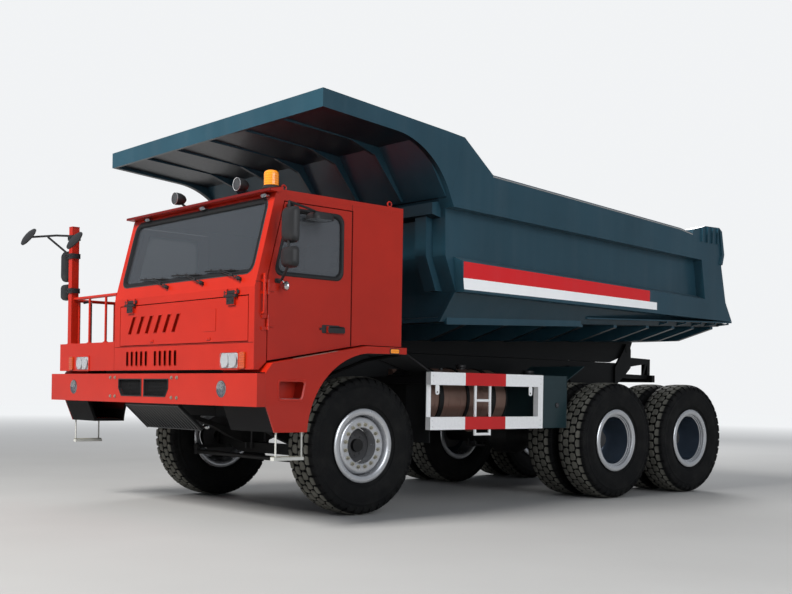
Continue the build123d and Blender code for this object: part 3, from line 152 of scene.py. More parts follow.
# %% A finish and its nodes
class Finish:
    """A material on the principled shader, with one method that adds any other node."""

    def __init__(self, name, color, **constants):
        self.material = bpy.data.materials.new(name)
        self.material.use_nodes = True
        self.tree = self.material.node_tree
        self.shader = self.tree.nodes["Principled BSDF"]
        self.material.diffuse_color = (*color, 1)
        self.shader.inputs["Base Color"].default_value = (*color, 1)
        for socket, value in constants.items():
            socket = socket.replace("_", " ").title().replace("Ior", "IOR")
            self.shader.inputs[socket].default_value = value

    def add(self, kind, settings=None, sockets=None):
        """Add a node: first its settings, then its sockets' values or links."""
        node = self.tree.nodes.new(kind)
        for key, value in (settings or {}).items():
            setattr(node, key, value)
        for key, value in (sockets or {}).items():
            if isinstance(value, Value):
                self.tree.links.new(value.socket, node.inputs[key])
            else:
                node.inputs[key].default_value = value
        return node

    def out(self, node, name):
        """One output of a node, ready for arithmetic."""
        return Value(self, node.outputs[name])

    def split(self, source, name):
        """X, Y and Z of a direction or point that a source node gives."""
        node = self.add("ShaderNodeSeparateXYZ", None, {0: self.out(self.add(source), name)})
        return [self.out(node, axis) for axis in "XYZ"]

    def place(self):
        """X, Y and Z of the point in the truck's frame, as three values."""
        return self.split("ShaderNodeTexCoord", "Object")

    def facing(self):
        """The upright share of the surface's direction: 1 faces up, -1 faces down."""
        return self.split("ShaderNodeNewGeometry", "Normal")[2]

    def stretched(self, stretch):
        """The point in the truck's frame, scaled along each axis."""
        spot = self.out(self.add("ShaderNodeTexCoord"), "Object")
        node = self.add("ShaderNodeMapping", None, {"Vector": spot, "Scale": stretch})
        return self.out(node, "Vector")

    def noise(self, scale, detail, rough, stretch=(1, 1, 1)):
        """Even cloud noise, from about 0.3 to 0.7, stretched along the axes."""
        node = self.add("ShaderNodeTexNoise", None,
                        {"Vector": self.stretched(stretch), "Scale": scale,
                         "Detail": detail, "Roughness": rough})
        return self.out(node, "Fac")

    def cells(self, scale):
        """Distance to scattered points, for grit and pores."""
        node = self.add("ShaderNodeTexVoronoi", {"feature": "F1"},
                        {"Vector": self.stretched((1, 1, 1)), "Scale": scale})
        return self.out(node, "Distance")

    def mix(self, factor, first, second):
        """A colour between two, by a factor."""
        shades = {key: shade if isinstance(shade, Value) else (*shade, 1)
                  for key, shade in ((6, first), (7, second))}
        node = self.add("ShaderNodeMix", {"data_type": "RGBA"}, {0: factor, **shades})
        return Value(self, node.outputs[2])

    def wire(self, name, value):
        """Link a value to one of the shader's sockets."""
        self.tree.links.new(value.socket, self.shader.inputs[name])

    def bump(self, height, depth, strength):
        """Raise the surface by a height of 0 to 1 over a depth in metres."""
        node = self.add("ShaderNodeBump", None,
                        {"Height": height, "Distance": depth, "Strength": strength})
        self.wire("Normal", self.out(node, "Normal"))


def dim(color, share):
    """A colour darkened to a share of itself."""
    return tuple(c * share for c in color)


print("a finish can be mixed")

# %% [markdown]
# ## Paint
# A mining truck wears coachwork enamel over steel plate. Close up, enamel has a faint
# orange-peel ripple, it is a little duller where dust has settled, and dust gathers low down
# and on what faces the sky. Painted images could carry this, but noise that is worked out
# from the place on the truck needs no unwrapping and stays sharp. One recipe makes nearly
# every painted finish, with its own amounts.

# %% Paint recipe
dust = (0.36, 0.31, 0.25)
red, white = (0.40, 0.014, 0.004), (0.86, 0.86, 0.86)


def enamel(name, color, shade, **constants):
    """A rippled finish with slow clouds, fine specks, and a tone that drifts with the clouds."""
    finish = Finish(name, color, **constants)
    clouds = finish.noise(1.7, 4.0, 0.6)
    specks = finish.noise(38, 3.0, 0.7)
    tone = finish.mix(clouds.between(0.3, 0.75), dim(color, shade), color)
    finish.bump(finish.noise(55, 2.0, 0.5) + clouds * 0.6, 0.0006, 0.35)
    return finish, clouds, specks, tone


def paint(name, color, gloss=0.32, dusty=0.25, coat=0.35, shade=0.82, shine=0.35):
    """Enamel with dust low down and on top."""
    finish, clouds, specks, tone = enamel(name, color, shade, roughness=gloss, coat_weight=coat,
                                          coat_roughness=0.12, specular_ior_level=shine)
    low = 1 - finish.place()[2].between(0.5, 1.7)
    settled = (low * 0.8 + finish.facing().held() * 0.45) * clouds.between(0.25, 0.75)
    layer = (settled * dusty * (specks * 0.9 + 0.55)).held()
    finish.wire("Base Color", finish.mix(layer, tone, dust))
    finish.wire("Roughness", (specks * 0.08 + layer * 0.5 + (gloss - 0.04)).held())
    return finish.material


def fender_enamel(name, color):
    """Red outside and on top, painted shade in near black on what faces down within the arch, bare
    zinc on the stirrup.
    """
    finish, _, specks, tone = enamel(name, color, 0.82, roughness=0.34, coat_weight=0.08,
                                     specular_ior_level=0.35)
    x, y, z = finish.place()
    inner = (x < 1.944) * (x > -1.814)
    pocket = (z > 1.10) * (z < 1.29) * (y > along(-1.425)) * (y < along(-1.095))
    under = inner * (1 - finish.facing().held().between(0.2, 0.4)) * (1 - pocket)
    # near black on what faces down within the arch is painted shade of the hollow
    with_painted_shade = finish.mix(under, tone, (0.002, 0.002, 0.0025))
    stirrup = z < 0.834
    finish.wire("Base Color", finish.mix(stirrup, with_painted_shade, (0.46, 0.46, 0.43)))
    finish.wire("Roughness", (specks * 0.08 + under * 0.6 + 0.30).held())
    return finish.material


def guard_enamel(name):
    """White on the guard's outer frame, black on the arms that carry it."""
    finish = Finish(name, white, roughness=0.38, specular_ior_level=0.3)
    specks = finish.noise(38, 3.0, 0.7)
    outer = abs(finish.place()[0]) > 1.426
    tone = finish.mix(specks.between(0.35, 0.7), (0.80, 0.80, 0.80), (0.87, 0.87, 0.87))
    finish.wire("Base Color", finish.mix(outer, (0.006, 0.006, 0.007), tone))
    finish.wire("Roughness", (specks * 0.1 + 0.33).held())
    finish.bump(specks, 0.0006, 0.3)
    return finish.material


cab_paint = paint("cab enamel", red, gloss=0.34, dusty=0.02, coat=0.08)
fender_paint = fender_enamel("fender enamel", red)
visor_paint = paint("visor enamel", (0.12, 0.005, 0.004), 0.40, 0.02, coat=0.05, shine=0.25)
guard_paint = guard_enamel("guard enamel")
white_paint = paint("white enamel", white, gloss=0.38, dusty=0.05, shade=0.94)
signal_red = paint("signal red enamel", (0.62, 0.010, 0.012), gloss=0.40, dusty=0.03, coat=0.1)
# the chassis's black, which on the bed subframe and the nose plate stands for painted shade
chassis_black_and_shade = paint("chassis black", (0.0045, 0.005, 0.0055), 0.5, 0.02, coat=0.0, shine=0.2)
bracket_paint = paint("bracket grey", (0.035, 0.040, 0.045), gloss=0.45, dusty=0.15, coat=0.1)
# a darker copy of the body's teal: painted shade on the oil tank
shaded_teal_paint = paint("tank teal", (0.010, 0.030, 0.036), gloss=0.40, dusty=0.02, coat=0.1)
box_grey = paint("cabinet grey", (0.16, 0.17, 0.17), gloss=0.45, dusty=0.25)
print("painted finishes:", [m.name for m in bpy.data.materials])

# %% [markdown]
# ## Tipping body
# The body is welded from wear plate under a dark teal enamel. Rain draws streaks of dust
# down it, and what faces the ground is painted near black as shade. Along the box on its
# flank run a red and a white warning stripe. They could be thin plates laid on the box;
# painted by place, they follow its slanting edges and the box stays one solid.

# %% Body finishes
teal = (0.016, 0.054, 0.078)


def body_enamel(name, roughness):
    """Teal enamel over plate, with the parts of a rain-streaked layer of dust."""
    finish = Finish(name, teal, roughness=roughness, coat_weight=0.08, specular_ior_level=0.35)
    clouds = finish.noise(1.1, 4.0, 0.6)
    grit = finish.noise(30, 4.0, 0.7)
    drips = finish.noise(5.5, 3.0, 0.6, stretch=(1, 1, 0.06)).between(0.45, 0.75)
    tone = finish.mix(clouds.between(0.3, 0.7), dim(teal, 0.8), teal)
    finish.bump(clouds + finish.noise(70, 2.0, 0.5) * 0.25, 0.0012, 0.35)
    return finish, grit, drips, tone


def body_paint(name):
    """The body's enamel, with painted shade in near black on what faces the ground."""
    finish, grit, drips, tone = body_enamel(name, 0.36)
    # what faces the ground turns near black: painted shade
    below = (finish.facing() * -1).held()
    tone = finish.mix(below.between(0.55, 0.8), tone, (0.004, 0.005, 0.007))
    layer = (drips * 0.10 + finish.facing().held() * 0.22) * 0.2 * 4 * grit
    finish.wire("Base Color", finish.mix(layer.held(), tone, (0.20, 0.22, 0.24)))
    finish.wire("Roughness", (grit * 0.12 + layer * 0.3 + 0.27).held())
    return finish.material


def flank_paint(name):
    """The body's enamel with the red and white stripe painted along the flank's box."""
    finish, grit, drips, tone = body_enamel(name, 0.34)
    x, y, z = finish.place()
    # the box's top and foot drop toward the rear; a level of 0 is its foot and 1 its top
    share = y.between(along(0.78), along(4.985))
    top = 2.480 - share * 0.095
    foot = 2.195 - share * 0.009
    level = (z - foot) / (top - foot)
    outer = abs(x).between(1.926, 1.928)
    front, red_end, white_end, border = along(0.80), along(3.85), along(3.99), 0.42
    upper = outer * ((y > front) * (y < red_end)) * (level > border) * (level < 0.985)
    lower = outer * ((y > front) * (y < white_end)) * (level > 0.03) * (level < border)
    striped = finish.mix(upper, tone, (0.62, 0.010, 0.014))
    striped = finish.mix(lower, striped, (0.88, 0.88, 0.88))
    layer = ((drips * 0.08 + finish.facing().held() * 0.3) * grit).held()
    finish.wire("Base Color", finish.mix(layer, striped, (0.20, 0.22, 0.24)))
    finish.wire("Roughness", (grit * 0.12 + layer * 0.3 + 0.26).held())
    return finish.material


bed_paint = body_paint("body teal")
bed_flank = flank_paint("body teal with stripe")
print("body finishes are ready")

# %% [markdown]
# ## Rubber, metal and machinery
# Tyre rubber is matte, with dust only on the tops of its tread. Chance alone would spread the
# dust over the sidewalls too, so the distance from the hub decides where it lies. Cast parts
# are black and rough. Rims are silver enamel. Bright parts are chrome or bare steel. Each
# kind is one short recipe that takes a colour and a gloss.

# %% Rubber and metal finishes
tyre_low, tyre_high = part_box("tyre_front_left")
tyre_radius = (tyre_high.z - tyre_low.z) / 2


def rubber(name, centre_y, color=(0.0042, 0.0044, 0.0048)):
    """Tyre rubber: nearly clean sidewalls and grooves, dust on the tops of the tread."""
    finish = Finish(name, color, roughness=0.75, specular_ior_level=0.15)
    clouds = finish.noise(6, 4.0, 0.65)
    specks = finish.noise(90, 3.0, 0.7)
    y, z = finish.place()[1:]
    square = (y - centre_y) * (y - centre_y) + (z - wheel_z) * (z - wheel_z)
    radius = square.maths("POWER", square, 0.5)
    top = radius.between(tyre_radius - 0.014, tyre_radius - 0.008)
    layer = (top * (clouds * 0.7 + specks * 0.5) + clouds.between(0.45, 0.75) * 0.03).held()
    finish.wire("Base Color", finish.mix(layer, color, (0.21, 0.205, 0.175)))
    finish.wire("Roughness", (specks * 0.2 + 0.62).held())
    finish.bump(specks + finish.cells(160) * 0.4, 0.001, 0.4)
    return finish.material


def metal(name, color, rough, metallic=1.0, ripple=0.25, wear=0.16):
    """Bare or plated metal with fine variation in gloss."""
    finish = Finish(name, color, roughness=rough, metallic=metallic)
    specks = finish.noise(60, 3.0, 0.6)
    clouds = finish.noise(4, 3.0, 0.6)
    tone = finish.mix(clouds.between(0.35, 0.7) * 0.5, dim(color, 0.75), color)
    finish.wire("Base Color", tone)
    finish.wire("Roughness", (specks * wear + (rough - wear / 2)).held())
    finish.bump(specks, 0.0005, ripple)
    return finish.material


def casting(name, color):
    """Rough cast iron under a thin black coat, with oil and dust."""
    finish = Finish(name, color, roughness=0.6, specular_ior_level=0.25)
    clouds = finish.noise(5, 5.0, 0.65)
    sand = finish.noise(120, 2.0, 0.6)
    grime = (clouds.between(0.45, 0.75) * 0.35 + finish.facing().held() * 0.2).held()
    finish.wire("Base Color", finish.mix(grime * 0.35, color, (0.08, 0.072, 0.06)))
    finish.wire("Roughness", (clouds * 0.4 + 0.38).held())
    finish.bump(sand + clouds * 0.7, 0.0015, 0.5)
    return finish.material


def plastic(name, color, rough=0.45, grain=140):
    """Moulded plastic with a fine grain."""
    finish = Finish(name, color, roughness=rough, specular_ior_level=0.3)
    grit = finish.noise(grain, 2.0, 0.5)
    clouds = finish.noise(5, 3.0, 0.6)
    finish.wire("Base Color", finish.mix(clouds.between(0.35, 0.7), dim(color, 0.85), color))
    finish.wire("Roughness", (grit * 0.2 + rough - 0.1).held())
    finish.bump(grit, 0.0004, 0.5)
    return finish.material


tyre_rubber = {place: rubber(f"{place} tyre rubber", hub[1]) for place, hub in hub_at.items()}
seal_rubber = plastic("seal rubber", (0.012, 0.012, 0.013), 0.55, 90)
flap_rubber = plastic("flap rubber", (0.013, 0.014, 0.015), 0.6, 60)
rim_silver = metal("rim silver", (0.68, 0.69, 0.71), 0.27, metallic=0.7, ripple=0.0, wear=0.02)
# the twin rims' dishes are painted dark: painted shade of their depth
dish_shade_paint = metal("dish enamel", (0.060, 0.082, 0.115), 0.24, 0.3, ripple=0.0, wear=0.03)
bright_steel = metal("bright steel", (0.62, 0.62, 0.62), 0.22, ripple=0.1)
zinc = metal("zinc plate", (0.52, 0.49, 0.40), 0.4, metallic=0.8)
chrome = metal("hard chrome", (0.72, 0.73, 0.74), 0.10, ripple=0.05)
copper_drum = metal("drum bronze", (0.23, 0.14, 0.11), 0.34, 0.6, ripple=0.03, wear=0.06)
cast_black = casting("black casting", (0.008, 0.008, 0.0085))
cast_grey = casting("grey casting", (0.05, 0.05, 0.052))
black_plastic = plastic("black moulding", (0.018, 0.018, 0.019))
dark_trim = plastic("cabin trim", (0.05, 0.052, 0.055), 0.6, 90)
# near black: painted shade in the vents, slots, hand holes and drain, and the dark of the panel
# seams
shade_and_seam_black = plastic("vent shadow", (0.004, 0.004, 0.004), 0.8)
print("rubber and metal are ready")

# %% [markdown]
# ## Glass and lenses
# The cab's panes are tinted safety glass, with a dark smoke tint so that the cab looks dim
# from outside. True refraction needs thick glass and many bounces of light; a thin pane that
# is partly clear shows the cab behind it at little cost. Lamp glass is clear. Amber and red
# lenses are clear plastic with moulded ribs.

# %% Glass and lens finishes
def pane_glass(name, tint, clear):
    """A tinted pane: part see-through, part glossy dark."""
    finish = Finish(name, tint, roughness=0.03, coat_weight=0.6, coat_roughness=0.02)
    clouds = finish.noise(0.8, 2.0, 0.5)
    finish.wire("Alpha", ((1 - clear) - 0.06 + clouds * 0.12).held())
    finish.material.surface_render_method = "BLENDED"
    return finish.material


def lens(name, color, alpha, ribs):
    """A clear moulded lens with ribs across it."""
    finish = Finish(name, color, roughness=0.08, coat_weight=0.8, coat_roughness=0.03)
    wave = (finish.place()[0] * 520).sine()
    finish.wire("Alpha", (wave * 0.04 + alpha).held())
    finish.bump(wave, ribs, 0.6)
    return finish.material


def glowing_lens(name, color, glow):
    """A lens that glows faintly from behind."""
    finish = Finish(name, color, roughness=0.15, coat_weight=0.8, emission_strength=glow)
    rings = (finish.place()[2] * 300).sine()
    tone = finish.mix((rings * 0.3 + 0.5).held(), dim(color, 0.55), color)
    finish.wire("Base Color", tone)
    finish.shader.inputs["Emission Color"].default_value = (*color, 1)
    finish.bump(rings, 0.002, 0.5)
    return finish.material


def woven(name, color):
    """Seat cloth: a fine over-and-under weave."""
    finish = Finish(name, color, roughness=0.9, sheen_weight=0.3)
    x, y, z = finish.place()
    weave = ((x + y) * 1400).sine() * (z * 1400).sine()
    tone = finish.mix((weave * 0.4 + 0.5).held(), dim(color, 0.6), color)
    finish.wire("Base Color", tone)
    finish.bump(weave + finish.noise(60, 3.0, 0.6), 0.0008, 0.6)
    return finish.material


screen_glass = pane_glass("smoked glass", (0.040, 0.047, 0.055), clear=0.40)
door_pane = pane_glass("door glass", (0.095, 0.102, 0.112), clear=0.30)
mirror_glass = metal("mirror silver", (0.62, 0.66, 0.68), 0.06, ripple=0.02)
clear_lens = lens("clear lens", (0.25, 0.26, 0.28), alpha=0.12, ribs=0.0006)
amber_lens = glowing_lens("amber lens", (0.85, 0.26, 0.01), 0.25)
orange_strip = glowing_lens("orange strip lens", (0.55, 0.07, 0.01), 0.05)
red_lens = glowing_lens("red lens", (0.50, 0.01, 0.008), 0.05)
reflector = metal("lamp reflector", (0.84, 0.85, 0.87), 0.16, metallic=0.5, ripple=0.02)
lamp_bowl = metal("lamp bowl", (0.46, 0.47, 0.49), 0.2, ripple=0.03)
seat_cloth = woven("seat cloth", (0.055, 0.058, 0.065))
print(len(bpy.data.materials), "finishes")

# %% [markdown]
# ## Dress the CAD solids
# A solid whose shape is right keeps its mesh and only takes a better finish. Modelling it
# again would gain nothing and could move it. The table gives each finish the solids that
# wear it.

# %% Finishes for the CAD solids
finishes = {
    cab_paint: "bumper cab_shell cab_roof deck door_left door_right front_hatch deck_railing",
    fender_paint: "fender_left fender_right",
    # the bed subframe wears the chassis's black as painted shade under the body
    chassis_black_and_shade: "frame hoist_barrels radiator_guard bogie_springs bed_subframe",
    cast_black: "front_axle knuckle_left knuckle_right tie_rod drive_axles driveline engine",
    bed_paint: "bed_floor bed_canopy bed_front_wall bed_outriggers",
    bed_flank: "bed_side_left bed_side_right",
    screen_glass: "cab_glazing",
    door_pane: "door_glass_left door_glass_right",
    chrome: "hoist_rods",
    copper_drum: "fuel_tank",
    guard_paint: "tank_guards",
    # the oil tank wears the darker teal of painted shade
    shaded_teal_paint: "oil_tank",
    bracket_paint: "battery_box",
    dark_trim: "dashboard cab_floor engine_tunnel",
    flap_rubber: "mudguard_left mudguard_right",
    seat_cloth: "seats",
    black_plastic: "mast_mirrors side_mirrors",
    rim_silver: " ".join(name for name in frame["nodes"] if name.startswith("rim")),
    tyre_rubber["front"]: "tyre_front_left tyre_front_right",
    tyre_rubber["mid"]: "tyres_mid_left tyres_mid_right",
    tyre_rubber["rear"]: "tyres_rear_left tyres_rear_right",
    red_lens: "tail_lamps",
    amber_lens: "amber_lamps",
    reflector: "front_lamps",
}
for material, nodes in finishes.items():
    for node in nodes.split():
        mesh = frame["nodes"][node].data
        mesh.materials.clear()
        mesh.materials.append(material)
undressed = set(frame["nodes"]) - set(" ".join(finishes.values()).split())
print("undressed solids:", undressed)

# %% [markdown]
# ## A small mesh workshop
# Most fittings are plates, bars, bolts and turned parts. They could be Blender's own
# primitives, one object each, but that makes hundreds of objects. The class below collects
# such shapes in one mesh and hands back one finished piece. A bevel modifier then breaks
# sharp edges, since no welded or moulded edge is perfectly sharp.

# %% Directions and circles
def frame_of(direction):
    """Two directions square to one, for sweeping a section along it."""
    direction = direction.normalized()
    side = Vector((0, 0, 1)) if abs(direction.z) < 0.9 else Vector((1, 0, 0))
    first = direction.cross(side).normalized()
    return first, direction.cross(first).normalized()


def turns(count, shift=0.0):
    """Angles that share out a full turn."""
    return [2 * math.pi * (i + shift) / count for i in range(count)]


def hoop(centre, axis, radius, sides):
    """Points round a centre, square to an axis."""
    first, second = frame_of(axis)
    return [centre + (first * math.cos(t) + second * math.sin(t)) * radius for t in turns(sides)]


def around(t):
    """The direction at an angle round the X axis, from Y toward Z."""
    return Vector((0, math.cos(t), math.sin(t)))


def about(middle, outline, kx, kz=None):
    """A flat outline stretched from a middle point, by one or two factors."""
    kz = kx if kz is None else kz
    return [(middle[0] + (a - middle[0]) * kx, middle[1] + (b - middle[1]) * kz)
            for a, b in outline]


print("a circle of 4 turns:", [round(t, 2) for t in turns(4)])

# %% The workshop
class Workshop:
    """Collects solids in one mesh, in the truck's frame, in metres."""

    def __init__(self):
        self.mesh = bmesh.new()

    def face(self, vertices):
        try:
            self.mesh.faces.new(vertices)
        except ValueError:
            pass

    def rings(self, rings, closed=False, capped=True):
        """Join rings of points, all of one length, into a skin."""
        made = [[self.mesh.verts.new(p) for p in ring] for ring in rings]
        pairs = list(zip(made, made[1:] + made[:1] if closed else made[1:]))
        for first, second in pairs:
            for i in range(len(first)):
                j = (i + 1) % len(first)
                self.face((first[i], first[j], second[j], second[i]))
        if capped and not closed:
            self.face(made[0][::-1])
            self.face(made[-1])
        return self

    def box(self, low, high):
        """A block between two corners."""
        (a, b, c), (d, e, f) = low, high
        ring = [(a, b), (d, b), (d, e), (a, e)]
        return self.rings([[(x, y, z) for x, y in ring] for z in (c, f)])

    def stack(self, axis, layers, **options):
        """Outlines in the other two axes, in X, Y, Z order, each at a level along one axis."""
        place = "XYZ".index(axis)
        return self.rings([[(*p[:place], level, *p[place:]) for p in outline]
                           for level, outline in layers], **options)

    def prism(self, axis, outline, start, end):
        """One outline drawn along an axis."""
        return self.stack(axis, ((start, outline), (end, outline)))

    def plate(self, axis, low, high, radius, start, end, count=5):
        """A plate with rounded corners, drawn along an axis."""
        return self.prism(axis, rounded(low, high, radius, count), start, end)

    def sheet(self, points, thickness):
        """A flat plate through points, given a thickness along its own normal."""
        points = [Vector(p) for p in points]
        normal = (points[1] - points[0]).cross(points[2] - points[1]).normalized()
        return self.rings([points, [p + normal * thickness for p in points]])

    def rod(self, start, end, radius, sides=16, end_radius=None):
        """A round bar, or a taper."""
        start, end = Vector(start), Vector(end)
        return self.rings([hoop(start, end - start, radius, sides),
                           hoop(end, end - start, end_radius or radius, sides)])

    def tube(self, points, radius, sides=12, closed=False):
        """A bent bar through points, mitred at each bend."""
        points = [Vector(p) for p in points]
        rings, first = [], None
        for i, point in enumerate(points):
            before = points[i - 1] if (i or closed) else None
            after = points[(i + 1) % len(points)] if (i + 1 < len(points) or closed) else None
            ahead = (after - point).normalized() if after else (point - before).normalized()
            back = (point - before).normalized() if before else ahead
            run, bend = (ahead + back).normalized(), ahead - back
            first = first or frame_of(run)[0]
            first = (first - run * first.dot(run)).normalized()
            second = run.cross(first)
            stretch = 1 / max(0.5, run.dot(ahead))
            ring = []
            for t in turns(sides):
                offset = first * math.cos(t) + second * math.sin(t)
                if bend.length > 1e-6:
                    inward = bend.normalized()
                    offset += inward * offset.dot(inward) * (stretch - 1)
                ring.append(point + offset * radius)
            rings.append(ring)
        return self.rings(rings, closed=closed)

    def lathe(self, profile, centre, axis="X", steps=48, facing=1):
        """Turn (distance along the axis, radius) points about an axis."""
        place = "XYZ".index(axis)
        run, first, second = (Vector([i == (place + k) % 3 for i in range(3)]) for k in range(3))
        grid = []
        for t in turns(steps):
            out = first * math.cos(t) + second * math.sin(t)
            grid.append([self.mesh.verts.new(Vector(centre) + run * facing * a + out * r)
                         for a, r in profile])
        for ring, other in zip(grid, grid[1:] + grid[:1]):
            for j in range(len(profile) - 1):
                self.face((ring[j], ring[j + 1], other[j + 1], other[j]))
        for end in () if profile[0] == profile[-1] else (0, -1):
            if profile[end][1] > 1e-6:
                self.face([ring[end] for ring in grid])
        return self

    def bolt(self, at, axis, radius=0.012, height=0.009, washer=True):
        """A hexagon head on a washer, facing along an axis."""
        at, axis = Vector(at), Vector(axis).normalized()
        if washer:
            self.rod(at - axis * 0.002, at + axis * 0.002, radius * 1.35, 14)
        self.rod(at - axis * 0.002, at + axis * height, radius, 6)
        return self

    def piece(self, name, material, body="chassis", bevel=0.0, segments=2, smooth=35):
        """Close the mesh, hand back one object that rides on a body, and start afresh."""
        bmesh.ops.remove_doubles(self.mesh, verts=self.mesh.verts, dist=1e-6)
        bmesh.ops.recalc_face_normals(self.mesh, faces=self.mesh.faces)
        data = bpy.data.meshes.new(name)
        self.mesh.to_mesh(data)
        self.mesh.free()
        self.mesh = bmesh.new()
        data.materials.append(material)
        item = bpy.data.objects.new(name, data)
        bpy.context.scene.collection.objects.link(item)
        if bevel:
            edge = item.modifiers.new("edge", "BEVEL")
            edge.width = bevel
            edge.segments = segments
            edge.limit_method = "ANGLE"
            edge.angle_limit = math.radians(40)
            edge.harden_normals = False
        if smooth:
            data.shade_smooth()
            with bpy.context.temp_override(object=item, active_object=item,
                                           selected_objects=[item],
                                           selected_editable_objects=[item]):
                bpy.ops.object.shade_smooth_by_angle(angle=math.radians(smooth))
        if body:
            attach(item, body)
        return item


shop = Workshop()
print("workshop is ready")

# %% Outlines
def arc(centre, radius, start, end, count):
    """Points on an arc, angles in degrees, in a plane of two axes."""
    return [(centre[0] + radius * math.cos(math.radians(start + (end - start) * i / (count - 1))),
             centre[1] + radius * math.sin(math.radians(start + (end - start) * i / (count - 1))))
            for i in range(count)]


def rounded(low, high, radius, count=5):
    """A rounded rectangle's outline between two corners."""
    x, y, across, up = high[0] - radius, high[1] - radius, low[0] + radius, low[1] + radius
    corners = ((x, y), (across, y), (across, up), (x, up))
    return [p for k, corner in enumerate(corners)
            for p in arc(corner, radius, 90 * k, 90 * k + 90, count)]


print("a rounded square has", len(rounded((0, 0), (1, 1), 0.2)), "points")

# %% [markdown]
# ## Tyres
# A dump truck's tyre has a steel-belted carcass, a plain sidewall with a few raised rings,
# and a deep block tread for loose ground. The tread could be a bump in the finish, but its
# blocks show in the wheel's outline, so they are mesh. The carcass is turned on a lathe
# profile. Each block is drawn flat, as distance across and turn round, and then wrapped on
# the drum, a little narrower at its top than at its foot.

# %% Build the tyres
tyre_half = (tyre_high.x - tyre_low.x) / 2
tread_depth = 0.026
drum = tyre_radius - tread_depth
pitches = 40
pitch = 2 * math.pi / pitches
twin = 0.23  # half the spacing of two tyres on one hub


def tread_block(outline, tops=None):
    """One tread block from (across, turn) points, wrapped on the drum."""
    middle = [sum(p[i] for p in outline) / len(outline) for i in (0, 1)]
    rings = []
    for level, shrink in ((drum - 0.004, 1.04), (drum + tread_depth * 0.8, 0.97),
                          (tyre_radius - 0.0005, 0.90)):
        ring = []
        for i, (x, t) in enumerate(about(middle, outline, shrink)):
            crown = 0 if tops and level < drum else 0.010 * (abs(x) / tyre_half) ** 2
            r = level - crown - (tops[i] if tops else 0)
            ring.append((x, r * math.sin(t), r * math.cos(t)))
        rings.append(ring)
    shop.rings(rings)


def tyre_shape(centre_x):
    """Carcass, sidewall rings and tread of one tyre about the X axis."""
    h = tyre_half
    half = [(h - 0.060, 0.345), (h - 0.046, 0.352), (h - 0.040, 0.372), (h - 0.026, 0.395),
            (h - 0.018, 0.398), (h - 0.016, 0.408), (h - 0.008, 0.430), (h - 0.0015, 0.470),
            (h, 0.500), (h - 0.001, 0.530), (h - 0.004, 0.552), (h - 0.003, 0.556),
            (h - 0.003, 0.566), (h - 0.006, 0.570), (h - 0.010, 0.590), (h - 0.014, 0.612),
            (h - 0.020, 0.628), (h - 0.040, drum - 0.006), (h - 0.10, drum), (0.0, drum + 0.002)]
    first = len(shop.mesh.verts)
    shop.lathe(half + [(-a, r) for a, r in reversed(half[:-1])] + half[:1], (0, 0, 0), "X", 96)
    for t in turns(pitches):
        for s in (-1, 1):
            # centre rows: six-sided blocks, set half a pitch apart; turns are shares of a pitch
            row = [(0.007, -0.36), (0.030, -0.435), (0.074, -0.335), (0.082, -0.05),
                   (0.074, 0.36), (0.030, 0.46), (0.007, 0.30), (0.013, 0)]
            shift = t + s * 0.25 * pitch
            tread_block([(s * x, shift + share * pitch) for x, share in row][::s])
            # shoulder rows: long blocks that lap over the edge
            row = [(0.094, -0.30), (0.108, -0.44), (0.150, -0.40), (h - 0.006, -0.42),
                   (h - 0.006, 0.38), (0.150, 0.36), (0.110, 0.42), (0.092, 0.22)]
            shift = t - (0.22 if s > 0 else -0.28) * pitch
            tread_block([(s * x, shift + share * pitch) for x, share in row][::s],
                        [0, 0, 0.003, 0.026, 0.026, 0.003, 0, 0])
            # small lugs down the shoulder
            a, b = shift - 0.20 * pitch, shift + 0.16 * pitch
            shop.rings([[(s * (h - out), r * math.sin(u), r * math.cos(u))
                         for u, out in ((a, 0.020), (b, 0.020), (b, lift), (a, lift))]
                        for r, lift in ((0.586, 0.008), (0.618, 0.006), (0.642, 0.016))])
    shop.mesh.verts.ensure_lookup_table()
    bmesh.ops.translate(shop.mesh, verts=shop.mesh.verts[first:], vec=(centre_x, 0, 0))


for place, plural, offsets in (("front", "", [0.0]), ("mid", "s", [-twin, twin]),
                               ("rear", "s", [-twin, twin])):
    for side, name in sides:
        for offset in offsets:
            tyre_shape(hub_at[place][0] * side + offset)
        bmesh.ops.translate(shop.mesh, verts=shop.mesh.verts, vec=(0, hub_at[place][1], wheel_z))
        item = shop.piece(f"{place}_tyre_{name}", tyre_rubber[place],
                          f"wheel{plural}_{place}_{name}", smooth=32)
        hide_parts(f"tyre{plural}_{place}_{name}")
print("tyre triangles:", sum(len(p.vertices) - 2 for p in item.data.polygons))

# %% [markdown]
# ## Rims and hubs
# The front rim is a convex disc: it bulges outward, past the flange, and is held by a ring
# of wheel nuts round the hub. The rear twins have deep dished discs, bolted back to back. A
# stack of cylinders would show steps, so each is a lathe profile of pressed steel, with nuts
# set round it.

# %% Rim shapes
rim_low, rim_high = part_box("rim_front_left")
rim_half = (rim_high.x - rim_low.x) / 2
rim_edge = (rim_high.z - rim_low.z) / 2
bead = 0.318
gutter = [(0.0, bead - 0.020), (0.004, bead - 0.014), (0.010, bead + 0.020),
          (0.006, rim_edge - 0.010), (0.0, rim_edge - 0.002), (-0.007, rim_edge - 0.001),
          (-0.013, rim_edge - 0.012), (-0.013, bead + 0.006), (-0.022, bead - 0.002),
          (-0.030, bead + 0.001), (-0.045, bead - 0.001)]


def disc(profile, centre, side):
    """A ring of pressed steel, turned from a closed profile."""
    shop.lathe(profile + profile[:1], centre, "X", 72, side)


